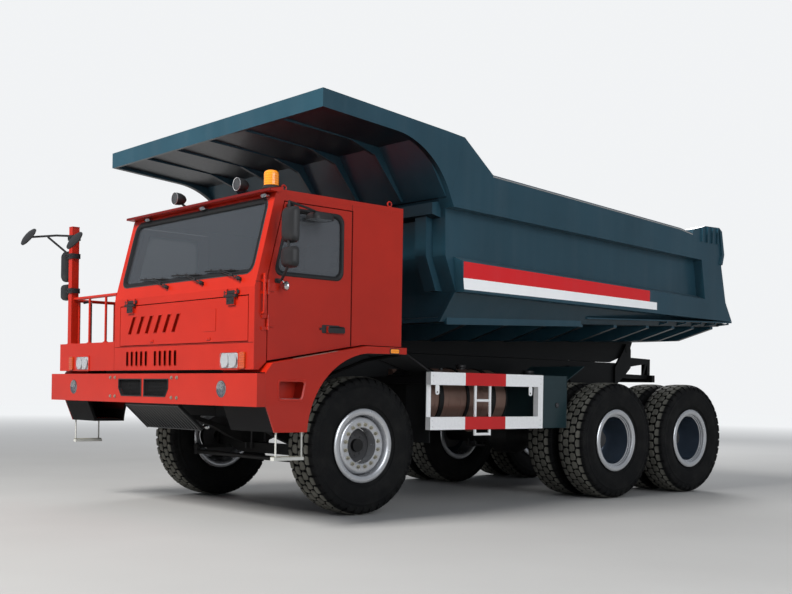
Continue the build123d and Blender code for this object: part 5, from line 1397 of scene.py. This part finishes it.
def round_mirror(at):
    """A round mirror that looks down and back."""
    for target, profile in ((shop, [(-0.010, 0.108), (-0.013, 0.113), (-0.010, 0.1145),
                                    (0.000, 0.112), (0.012, 0.085), (0.0175, 0.045),
                                    (0.0178, 0.010)]),
                            (glass, [(-0.0125, 0.006), (-0.0120, 0.060), (-0.0105, 0.106),
                                     (-0.006, 0.106)])):
        target.rings([hoop(at + axis * a, axis, r, 40) for a, r in profile])


far = Vector((-2.045, along(-1.880), arm_z))
near = Vector((mast_x + 0.330, mast_y - 0.160, arm_z - 0.090))
for spot in (far, near):
    round_mirror(spot)
shop.tube([(mast_x - 0.040, mast_y - 0.005, 2.812), (mast_x - 0.20, mast_y - 0.11, 2.822),
           far + Vector((0, 0.03, -0.004))], 0.0115, 12)
shop.tube([(mast_x - 0.040, mast_y - 0.005, 2.585), (mast_x - 0.235, mast_y - 0.19, 2.80)],
          0.0115, 12)
shop.tube([(mast_x, mast_y - 0.040, 2.752), (mast_x + 0.16, mast_y - 0.085, 2.745),
           near + Vector((-0.02, 0.025, -0.015))], 0.0115, 12)
for z in (2.785, 2.590, 2.220):
    shop.plate("Z", (mast_x - 0.054, mast_y - 0.054), (mast_x + 0.054, mast_y + 0.054), 0.014,
               z - 0.026, z + 0.026, 4)
    for a in (-0.03, 0.03):
        shop.bolt((mast_x + a, mast_y - 0.054, z), (0, -1, 0), 0.007, 0.006)
mast_panes = {"main": ((mast_x - 0.330, 2.335), (mast_x - 0.160, 2.668)),
              "wide": ((mast_x - 0.330, 2.133), (mast_x - 0.160, 2.308))}
for low, high in mast_panes.values():
    housing(low, high, 0.042, 0.068, mast_y + 0.058)
for z in (2.60, 2.22):
    shop.tube([(mast_x - 0.045, mast_y, z), (mast_x - 0.245, mast_y + 0.010, z)], 0.0115, 10)
shells = shop.piece("mast_mirror_shells", black_plastic, smooth=50)
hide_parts("mast_mirrors")
glass.piece("mast_mirror_round_glass", mirror_glass, smooth=60)
for name, (low, high) in mast_panes.items():
    glass_plate(low, high, 0.042, mast_y + 0.058, f"mast_mirror_{name}")
print("mast mirrors are built")

# %% [markdown]
# ## Seats and cabin
# Two air-sprung seats stand behind the windscreen. A cushion is a crowned form whose sides
# pull in toward the piping. Cloth could be blown up to that form; the pads are small and
# seen through glass, so a formula does it here: a rectangle swells between its edges, with
# sewn channels pressed across it.

# %% Seat pads
def pad(name, centre, size, tilt, channels):
    """A padded block: width, depth, height, leaning back by a tilt in degrees."""
    width, depth, height = size
    nx, nz = 20, 24
    mesh = bmesh.new()
    for face in (-1, 1):
        grid = []
        for j in range(nz + 1):
            row = []
            for i in range(nx + 1):
                u, v = i / nx * 2 - 1, j / nz * 2 - 1
                swell = ((1 - u ** 4) * (1 - v ** 4)) ** 0.35
                groove = 0.0
                if face < 0 and abs(v) < 0.9:
                    groove = 0.010 * max(0.0, math.cos(v * math.pi * channels)) ** 10
                pinch = 1 - 0.03 * (1 - swell)
                row.append(mesh.verts.new((u * width / 2 * pinch,
                                           face * depth / 2 * swell + groove,
                                           v * height / 2 * pinch)))
            grid.append(row)
        for j in range(nz):
            for i in range(nx):
                quad = (grid[j][i], grid[j][i + 1], grid[j + 1][i + 1], grid[j + 1][i])
                mesh.faces.new(quad if face < 0 else quad[::-1])
    bmesh.ops.remove_doubles(mesh, verts=mesh.verts, dist=0.0012)
    bmesh.ops.recalc_face_normals(mesh, faces=mesh.faces)
    turn = Matrix.Rotation(math.radians(tilt), 4, "X")
    bmesh.ops.transform(mesh, matrix=Matrix.Translation(centre) @ turn, verts=mesh.verts)
    data = bpy.data.meshes.new(name)
    mesh.to_mesh(data)
    mesh.free()
    data.materials.append(seat_cloth)
    data.shade_smooth()
    item = bpy.data.objects.new(name, data)
    bpy.context.scene.collection.objects.link(item)
    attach(item, "chassis")
    return item


for index, x in enumerate((0.700, 1.390)):
    for part, station, z, size, tilt, channels in (
            ("cushion", -0.660, 1.835, (0.46, 0.115, 0.44), -88, 4),
            ("back", -0.385, 2.115, (0.45, 0.115, 0.50), -9, 5),
            ("head", -0.325, 2.440, (0.26, 0.085, 0.15), -6, 1)):
        pad(f"seat_{part}_{index}", (x, along(station), z), size, tilt, channels)
    y = along(-0.635)
    shop.box((x - 0.19, y - 0.16, 1.700), (x + 0.19, y + 0.16, 1.728))
    shop.plate("Z", (x - 0.17, y - 0.14), (x + 0.17, y + 0.14), 0.03, 1.630, 1.700)
    shop.plate("Z", (x - 0.20, y - 0.20), (x + 0.20, y + 0.20), 0.03, 1.755, 1.775)
    for k in range(5):
        z, half = 1.728 + k * 0.006, 0.15 - k % 2 * 0.01
        shop.plate("Z", (x - half, y - 0.12), (x + half, y + 0.12), 0.03, z, z + 0.005)
    for side in (-1, 1):
        shop.tube([(x + side * 0.08, along(-0.345), 2.34),
                   (x + side * 0.07, along(-0.335), 2.40)], 0.007, 8)
    shop.piece(f"seat_base_{index}", black_plastic, bevel=0.002)
    # belt over the shoulder
    half = 0.022
    shop.rings([[(x + a - half, along(b), c), (x + a + half, along(b), c),
                 (x + a + half, along(b) + 0.002, c), (x + a - half, along(b) + 0.002, c)]
                for a, b, c in ((0.20, -0.31, 2.62), (0.13, -0.44, 2.36), (0.02, -0.46, 2.15),
                                (-0.12, -0.47, 1.96), (-0.20, -0.50, 1.90))])
    shop.piece(f"seat_belt_{index}", black_plastic, smooth=30)
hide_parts("seats")
print("seats are built")

# %% Dashboard, steering wheel and cabin lining
dash_low, dash_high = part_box("dashboard")
wheel_centre = Vector((1.390, along(-1.090), 2.150))
column = Vector((0, 0.170, 0.110)).normalized()
shop.tube(hoop(wheel_centre + column * 0.014, column, 0.208, 48), 0.0155, 12, closed=True)
first, second = frame_of(column)
for t in (0.2, math.pi - 0.2, 1.5 * math.pi):
    out = first * math.cos(t) + second * math.sin(t)
    shop.tube([wheel_centre + column * rise + out * reach
               for rise, reach in ((0.006, 0.05), (0.004, 0.13), (0.013, 0.203))], 0.012, 10)
shop.rod(wheel_centre - column * 0.004, wheel_centre + column * 0.018, 0.062, 28, 0.050)
shop.rod(wheel_centre - column * 0.18, wheel_centre, 0.024, 16)
shop.piece("steering_wheel", black_plastic, smooth=60)
shop.prism("X", [(along(a), z) for a, z in
                 ((-1.4885, 1.965), (-1.4885, 2.118), (-1.440, 2.149), (-1.330, 2.146),
                  (-1.265, 2.118), (-1.215, 2.050), (-1.235, 1.980))], dash_low.x, dash_high.x)
for x in (1.26, 1.34, 1.43, 1.51):
    shop.lathe([(0.0, 0.0), (0.004, 0.030), (0.010, 0.034), (0.004, 0.038), (-0.02, 0.038)],
               (x, along(-1.246), 2.085), "Y", 24)
shop.plate("Z", (1.18, along(-1.42)), (1.60, along(-1.26)), 0.03, 2.148, 2.163)
for x in (-0.30, 0.25, 0.90, 1.72):
    for z in (2.062, 2.074, 2.086, 2.098):
        shop.box((x - 0.06, along(-1.228), z), (x + 0.06, along(-1.214), z + 0.005))
dash = shop.piece("dashboard_trim", dark_trim, bevel=0.006, segments=3)
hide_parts("dashboard")
shop.tube([(0.62, along(-1.02), 1.62), (0.60, along(-1.00), 1.85), (0.605, along(-0.97), 2.02)],
          0.011, 10)
shop.lathe([(0.0, 0.0), (0.004, 0.018), (0.020, 0.024), (0.036, 0.020), (0.044, 0.0)],
           (0.605, along(-0.97), 2.015), "Z", 20)
shop.plate("Z", (0.54, along(-1.08)), (0.68, along(-0.92)), 0.02, 1.600, 1.640)
for x in (1.27, 1.40, 1.52):
    shop.box((x - 0.035, along(-1.335), 1.62), (x + 0.035, along(-1.320), 1.72))
shop.piece("gear_lever", black_plastic, bevel=0.002)
print("cabin is built")

# %% [markdown]
# ## Walkway and railing
# The walkway beside the cab is sheet steel with raised tread bars. They are small meshes and
# not a bump, because their edges catch the light at a low angle. A red railing with a thick
# mast runs round it on bolted feet. A grey cabinet stands at its back.

# %% Walkway details
deck_low, deck_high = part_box("deck")
mast_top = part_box("deck_railing")[1].z
step = 0.052
rows = int((deck_high.y - 0.25 - (deck_low.y + 0.16)) / step)
cols = int((deck_high.x - 0.08 - (deck_low.x + 0.12)) / step)
for j in range(rows):
    for i in range(cols):
        p = Vector((deck_low.x + 0.12 + i * step, deck_low.y + 0.16 + j * step, deck_high.z))
        turn = 1 if (i + j) % 2 else -1
        a = Vector((0.014, 0.014 * turn, 0))
        b = Vector((-0.004 * turn, 0.004, 0))
        ring = [p - a, p - a * 0.4 + b, p + a * 0.4 + b, p + a, p + a * 0.4 - b, p - a * 0.4 - b]
        shop.rings([ring, [p + (q - p) * 0.7 + Vector((0, 0, 0.0022)) for q in ring]])
shop.piece("walkway_tread", cab_paint, smooth=0)
z = 1.6505
for x, y in [(x, mast_y) for x in (mast_x, -1.230, -0.870, -0.640)] + [
        (-1.785, along(station)) for station in (-0.98, -0.52, -0.06, -1.40)]:
    half = 0.065 if x == mast_x else 0.034
    shop.plate("Z", (max(x - half, -1.829), y - half * 0.55), (x + half, y + half * 0.55), 0.012,
               z, z + 0.008)
    for a in (x - 0.7 * half, x + 0.7 * half):
        if a > -1.82:
            shop.bolt((a, y, z + 0.008), (0, 0, 1), 0.007, 0.006)
shop.plate("Z", (mast_x - 0.044, mast_y - 0.044), (mast_x + 0.044, mast_y + 0.044), 0.008,
           mast_top - 0.0005, mast_top + 0.004)
shop.piece("railing_feet", cab_paint, bevel=0.0015)
x, y = -1.425, along(-1.46)
shop.tube([(x - 0.015, mast_y + 0.03, 2.085), (x, y, 2.100), (x + 0.015, y + 0.01, 2.075),
           (x + 0.015, y + 0.01, 1.66)], 0.0135, 12)
shop.piece("walkway_hand_hoop", black_plastic, smooth=60)
shop.plate("Z", (-1.14, along(-0.42)), (-0.72, along(-0.06)), 0.02, 1.6506, 2.03)
shop.plate("Z", (-1.155, along(-0.435)), (-0.705, along(-0.045)), 0.02, 2.03, 2.045)
for k in range(8):
    z = 1.74 + k * 0.028
    shop.box((-1.06, along(-0.428), z), (-0.80, along(-0.4185), z + 0.012))
shop.tube([(-0.84, along(-0.44), 1.92), (-0.84, along(-0.455), 1.93),
           (-0.84, along(-0.455), 1.98), (-0.84, along(-0.44), 1.99)], 0.006, 8)
shop.piece("walkway_cabinet", box_grey, bevel=0.004)
print("walkway is dressed:", rows * cols, "tread bars")

# %% [markdown]
# ## Fenders
# The left fender has a foothold let into its side with a round drain, a strip of tread
# plate along its shoulder and an amber side marker. A stirrup hangs below each fender, and
# a mudguard of ribbed black sheet runs behind each front wheel. The CAD gives their main
# shapes, and what is added lies on its faces, so it is placed by the same few lines.

# %% Fender details
skin = 1.960
a0, a1, z0, z1 = along(-1.400), along(-1.165), 1.115, 1.270
hole = [(y + 0.037 * (z - z0) / (z1 - z0) * (y - a0) / (a1 - a0), z)
        for y, z in rounded((a0, z0), (a1, z1), 0.022, 5)]
middle = ((a0 + a1) / 2, (z0 + z1) / 2)
shop.stack("X", [(skin + out, about(middle, hole, 1 + 2 * grow / (a1 - a0),
                                    1 + 2 * grow / (z1 - z0)))
                 for grow, out in ((0.016, 0.0003), (0.014, 0.004), (0.004, 0.005),
                                   (-0.006, -0.004))], capped=False)
shop.piece("foothold_rim", cab_paint, smooth=50)
shop.box((skin - 0.125, a0 + 0.004, z0 + 0.0008), (skin - 0.002, a1 - 0.004, z0 + 0.006))
shop.piece("foothold_tread", bright_steel, bevel=0.001)
# the round drain is a near-black disc of painted shade
shop.rod((skin - 0.1295, a0 + 0.055, 1.185), (skin - 0.122, a0 + 0.055, 1.185), 0.034, 24)
shop.piece("foothold_drain", shade_and_seam_black, smooth=40)
for i in range(28):
    station = -1.22 + i * 0.0165
    z = 1.420 + (station + 1.470) * 0.180 / 1.040
    for x in (1.902, 1.921, 1.940):
        base = [(x, along(station), z + 0.0006), (x + 0.013, along(station + 0.004), z + 0.0013),
                (x + 0.013, along(station + 0.010), z + 0.0023),
                (x, along(station + 0.006), z + 0.0016)]
        shop.rings([base, [(px, py, pz + 0.0025) for px, py, pz in base]])
shop.piece("fender_tread_strip", zinc, smooth=0)
shop.plate("X", (along(-0.16), 1.545), (along(-0.06), 1.583), 0.012, 1.9605, 1.969)
shop.piece("side_marker_left", amber_lens, bevel=0.002)
shop.plate("X", (along(-0.17), 1.538), (along(-0.05), 1.590), 0.014, 1.9603, 1.9635)
shop.piece("side_marker_foot", black_plastic, bevel=0.001)
print("fenders are dressed")

# %% Stirrups and mudguards
flap_low, flap_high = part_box("mudguard_left")
slope_y, foot_y = flap_low.y + 0.004, flap_high.y - 0.004
for side, outer in ((1, 1.960), (-1, -1.830)):
    bar_x = outer - side * 0.025
    x0, x1 = sorted((bar_x - side * 0.047, bar_x + side * 0.012))
    for i in range(12):
        y = along(-1.425) + i * 0.0265
        shop.box((x0, y, 0.6245), (x1, y + 0.006, 0.632))
    for station in (-1.41, -1.14):
        shop.rod((bar_x, along(station), 0.842), (bar_x, along(station), 0.832), 0.018, 14)
    shop.piece(f"stirrup_tread_{side}", zinc, bevel=0.0008)
    # ribs down the sheet behind the wheel, its edge angle, and the bolts of its flap
    inner_x = (flap_low.x + 0.005, 1.310)
    outer_x = (1.415, abs(outer) - 0.064)
    for k in range(7):
        low_x, top_x = (side * (a + (b - a) * (k + 0.5) / 7) for a, b in zip(inner_x, outer_x))
        shop.tube([(top_x, slope_y, 1.5795), (low_x, flap_high.y - 0.006, 1.4135)], 0.006, 6)
        shop.tube([(low_x, flap_high.y + 0.0005, 1.400),
                   (low_x, flap_high.y + 0.0005, flap_low.z + 0.02)], 0.005, 6)
    shop.piece(f"mudguard_ribs_{side}", flap_rubber, smooth=40)
    for low_x, top_x in (inner_x, outer_x):
        shop.tube([(side * top_x, slope_y, 1.570), (side * low_x, foot_y, 1.405)], 0.010, 8)
    for k in range(4):
        x = side * (flap_low.x + 0.04 + k * 0.09)
        shop.bolt((x, flap_high.y + 0.0005, 1.375), (0, 1, 0), 0.008, 0.006)
    shop.tube([(side * 0.521, foot_y, 1.30), (side * 0.80, foot_y, 1.36),
               (side * flap_low.x, foot_y, 1.36)], 0.016, 10)
    shop.tube([(side * 0.521, along(0.10), 1.30), (side * 1.30, along(0.10), 1.50),
               (side * 1.80, along(0.10), 1.545)], 0.018, 12)
    shop.piece(f"mudguard_stays_{side}", chassis_black_and_shade, smooth=60)
print("mudguards are ribbed, with a flap from", round(flap_low.z, 3))

# %% [markdown]
# ## Tanks and side guards
# The fuel tank is a drum held by black straps. Straps and seams are turned about the drum's
# own axis, so that they fit it all round. A white guard with a red patch on each rail keeps
# people clear of it and carries the ladder; two small eyes hang from its top rail. The oil
# tank behind it is folded plate with welded seams.

# %% Fuel tank and side guards
tank_x, tank_z, tank_r = 1.010, 1.135, 0.315


def round_tank(profile, station):
    """A ring turned about the fuel tank's axis."""
    shop.lathe(profile, (tank_x, along(station), tank_z), "Y", 64)


for station, half in ((1.110, 0.032), (1.500, 0.020), (1.890, 0.032)):
    round_tank([(-half, tank_r - 0.001), (-half, tank_r + 0.0125), (half, tank_r + 0.0125),
                (half, tank_r - 0.001)], station)
for station in (0.902, 2.098):
    round_tank([(-0.012, 0.290), (-0.012, tank_r + 0.004), (0.012, tank_r + 0.004),
                (0.012, 0.290)], station)
shop.piece("tank_straps", chassis_black_and_shade, bevel=0.002, smooth=40)
shop.lathe([(0.0, 0.0), (0.0, 0.046), (0.020, 0.046), (0.024, 0.056), (0.050, 0.056),
            (0.056, 0.048), (0.058, 0.0)], (tank_x, along(1.700), tank_z + tank_r - 0.006), "Z",
           32)
shop.rod((tank_x + 0.10, along(1.30), tank_z + tank_r - 0.030),
         (tank_x + 0.10, along(1.30), tank_z + tank_r + 0.004), 0.022, 18)
shop.piece("tank_filler", black_plastic, bevel=0.002)
for station in (1.22, 1.39, 1.56, 1.73, 1.02):
    round_tank([(-0.002, tank_r - 0.002), (0.0, tank_r + 0.0022), (0.002, tank_r - 0.002)],
               station)
shop.piece("tank_seams", copper_drum, smooth=60)

rail_x = 1.500
patch_y = (along(1.285), along(1.895))
for side in (-1, 1):
    for low_z, high_z in ((0.815, 0.945), (1.270, 1.400)):
        for x0, x1, z0, z1 in ((rail_x + 0.0002, rail_x + 0.0010, low_z, high_z),
                               (1.4305, rail_x + 0.0010, high_z + 0.0002, high_z + 0.0010)):
            a, b = sorted((side * x0, side * x1))
            shop.box((a, patch_y[0], z0), (b, patch_y[1], z1))
    shop.piece(f"guard_patches_{side}", signal_red, smooth=0)
    a, b = sorted((side * (rail_x - 0.014), side * (rail_x - 0.004)))
    for y in (along(0.890), along(2.300)):
        eye = rounded((y - 0.026, 1.170), (y + 0.026, 1.275), 0.024, 6)
        bore = rounded((y - 0.011, 1.186), (y + 0.011, 1.208), 0.0105, 6)
        shop.stack("X", [(a, bore), (a, eye), (b, eye), (b, bore)], closed=True)
    shop.piece(f"guard_eyes_{side}", white_paint, bevel=0.001)
    for station in (0.828, 2.462):
        for z in (0.850, 0.910, 1.305, 1.365):
            shop.bolt((side * rail_x, along(station), z), (side, 0, 0), 0.009, 0.007)
    a, b = sorted((side * 1.458, side * 1.482))
    for z in (0.762, 1.115):
        for i in range(7):
            y = along(1.490 + i * 0.026)
            shop.box((a, y, z + 0.011), (b, y + 0.010, z + 0.0155))
    shop.piece(f"guard_bolts_{side}", white_paint, bevel=0.001)
print("fuel tank and guards are dressed")

# %% Oil tank and battery box
oil_low, oil_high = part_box("oil_tank")
oil_rear, oil_top = along(2.925), 1.395
shop.tube([(oil_high.x, y, z) for y, z in ((oil_low.y, 0.820), (oil_rear, 0.820),
                                           (oil_rear, oil_top), (oil_low.y, oil_top))],
          0.005, 8, closed=True)
for z in (0.96, 1.25):
    shop.plate("X", (oil_low.y + 0.05, z - 0.006), (oil_rear - 0.05, z + 0.006), 0.005,
               oil_high.x, oil_high.x + 0.004, 3)
shop.piece("oil_tank_seams", shaded_teal_paint, smooth=50)
shop.lathe([(0.0, 0.0), (0.0, 0.060), (0.030, 0.060), (0.036, 0.068), (0.062, 0.066),
            (0.068, 0.0)], (1.10, along(2.70), oil_top), "Z", 32)
sight = Vector((oil_high.x, along(2.76), 1.07))
shop.rod(sight - Vector((0.002, 0, 0)), sight + Vector((0.008, 0, 0)), 0.030, 28)
for x in (0.80, 1.05):
    shop.tube([(x, oil_rear - 0.002, 0.90), (x, oil_rear + 0.05, 0.90),
               (x - 0.10, oil_rear + 0.16, 0.94), (x - 0.20, oil_rear + 0.18, 1.10)], 0.017, 12)
shop.piece("oil_tank_fittings", black_plastic, bevel=0.002)
shop.rod(sight + Vector((0.006, 0, 0)), sight + Vector((0.010, 0, 0)), 0.022, 28)
shop.piece("oil_sight_glass", clear_lens, smooth=40)
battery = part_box("battery_box")[0]
for k in range(3):
    y = battery.y + 0.10 + k * 0.15
    shop.box((battery.x - 0.004, y, 0.86), (battery.x + 0.30, y + 0.03, 1.2535))
shop.piece("battery_straps", chassis_black_and_shade, bevel=0.002)
print("oil tank and batteries are dressed")

# %% [markdown]
# ## Running gear
# The axles and springs are dressed with what holds them: U-bolts round the front springs,
# and bolts round the axle bowls. A thread would never be seen, so a rod and a hexagon head
# do. A bright steel bar along the body's upper edge is a painted highlight that stands for the
# sky's reflection there, and a black plate of painted shade closes the nose behind the bumper.

# %% U-bolts and axle bolts
for x in (0.415, -0.415):
    for y in (along(-0.085), along(0.085)):
        for a in (x - 0.052, x + 0.052):
            shop.rod((a, y, 0.560), (a, y, 0.900), 0.010, 10)
            shop.bolt((a, y, 0.895), (0, 0, 1), 0.016, 0.014)
shop.piece("front_u_bolts", cast_grey, smooth=50)
for place in ("mid", "rear"):
    centre = Vector((0, hub_at[place][1], wheel_z))
    for t in turns(14):
        for side in (-1, 1):
            shop.bolt(centre + Vector((side * 0.152, 0, 0)) + around(t) * 0.205, (side, 0, 0),
                      0.011, 0.009)
    for side in (-1, 1):
        for y in (-0.075, 0.075):
            for x in (0.545, 0.650):
                foot = centre + Vector((side * x, y, 0))
                shop.rod(foot - Vector((0, 0, 0.165)), foot + Vector((0, 0, 0.245)), 0.011, 10)
        pad_at = centre + Vector((side * 0.598, 0, -0.161))
        shop.box(pad_at - Vector((0.075, 0.10, 0.011)), pad_at + Vector((0.075, 0.10, 0.011)))
    shop.piece(f"{place}_axle_bolts", cast_grey, smooth=40)
print("axles are bolted")

# %% Body's highlight bar and the nose's shade plate
# a bright steel bar on the body's upper edge stands for a painted highlight of the sky
for side in (-1, 1):
    shop.tube([(side * 1.9205, along(station), z) for station, z in
               ((1.195, 3.357), (4.430, 3.187), (4.700, 3.152))], 0.0125, 10)
    shop.piece(f"bed_edge_highlight_bar_{side}", bright_steel, "bed", smooth=60)
# a black plate behind the bumper is painted shade in the nose's gap
shop.box((-1.06, along(-1.440), 1.10), (1.84, along(-1.434), 1.378))
shop.piece("nose_backing", chassis_black_and_shade, smooth=0)
print("body and nose are finished")

# %% [markdown]
# ## Studio
# The truck stands on a plain pale floor. Walls would leave corners in the paint's
# reflections, so the floor fades into the backdrop by its distance instead. One broad soft
# lamp stands ahead of the truck, so that its face is bright and its flank falls into gentle
# shade. A weaker lamp fills the flank, and a pale sky gives the paint and glass something
# quiet to reflect.

# %% Floor, lamps and sky
floor_finish = Finish("studio floor", (0.34, 0.337, 0.33), roughness=0.9, emission_strength=1.0)
x, y, z = floor_finish.place()
square = x * x + y * y
far = square.maths("POWER", square, 0.5).between(7, 36)
cloud = floor_finish.noise(0.6, 2.0, 0.5)
near_shade = floor_finish.mix(cloud, (0.32, 0.317, 0.31), (0.36, 0.357, 0.35))
floor_finish.wire("Base Color", floor_finish.mix(far, near_shade, (0.05, 0.05, 0.05)))
floor_finish.wire("Emission Color", floor_finish.mix(far, (0, 0, 0), (0.845, 0.86, 0.87)))
shop.sheet([(-60, -60, 0), (60, -60, 0), (60, 60, 0), (-60, 60, 0)], -0.02)
floor = shop.piece("studio_floor", floor_finish.material, None, smooth=0)


def lamp(name, place, target, size, power, color=(1, 1, 1)):
    """A soft square lamp aimed at a point."""
    light = bpy.data.lights.new(name, "AREA")
    light.shape = "SQUARE"
    light.size = size
    light.energy = power
    light.color = color
    item = bpy.data.objects.new(name, light)
    item.location = place
    aim = Vector(target) - Vector(place)
    item.rotation_euler = aim.to_track_quat("-Z", "Y").to_euler()
    bpy.context.scene.collection.objects.link(item)
    return item


key = lamp("key", (1.0, -15.5, 13.0), (0, -2, 1.5), 6, 5600, (1.0, 0.985, 0.96))
key.visible_glossy = False  # its mirror image would blank out the windscreen
lamp("fill", (15, -3, 6), (0, 0, 1.6), 9, 1000, (0.93, 0.96, 1.0))
lamp("rim", (-8, 13, 9), (0, 1, 2), 7, 1400)

world = bpy.data.worlds.new("studio")
bpy.context.scene.world = world
world.use_nodes = True
sky, links = world.node_tree.nodes, world.node_tree.links
lit, seen = sky["Background"], sky.new("ShaderNodeBackground")
for background, color, strength in ((lit, (0.80, 0.86, 0.95, 1), 0.34),
                                    (seen, (0.93, 0.945, 0.96, 1), 0.95)):
    background.inputs["Color"].default_value = color
    background.inputs["Strength"].default_value = strength
path = sky.new("ShaderNodeLightPath")
either = sky.new("ShaderNodeMixShader")
links.new(path.outputs["Is Camera Ray"], either.inputs[0])
links.new(lit.outputs[0], either.inputs[1])
links.new(seen.outputs[0], either.inputs[2])
links.new(either.outputs[0], sky["World Output"].inputs["Surface"])
bpy.context.scene.view_settings.view_transform = "Standard"
print("lamps:", [light.name for light in bpy.data.lights])
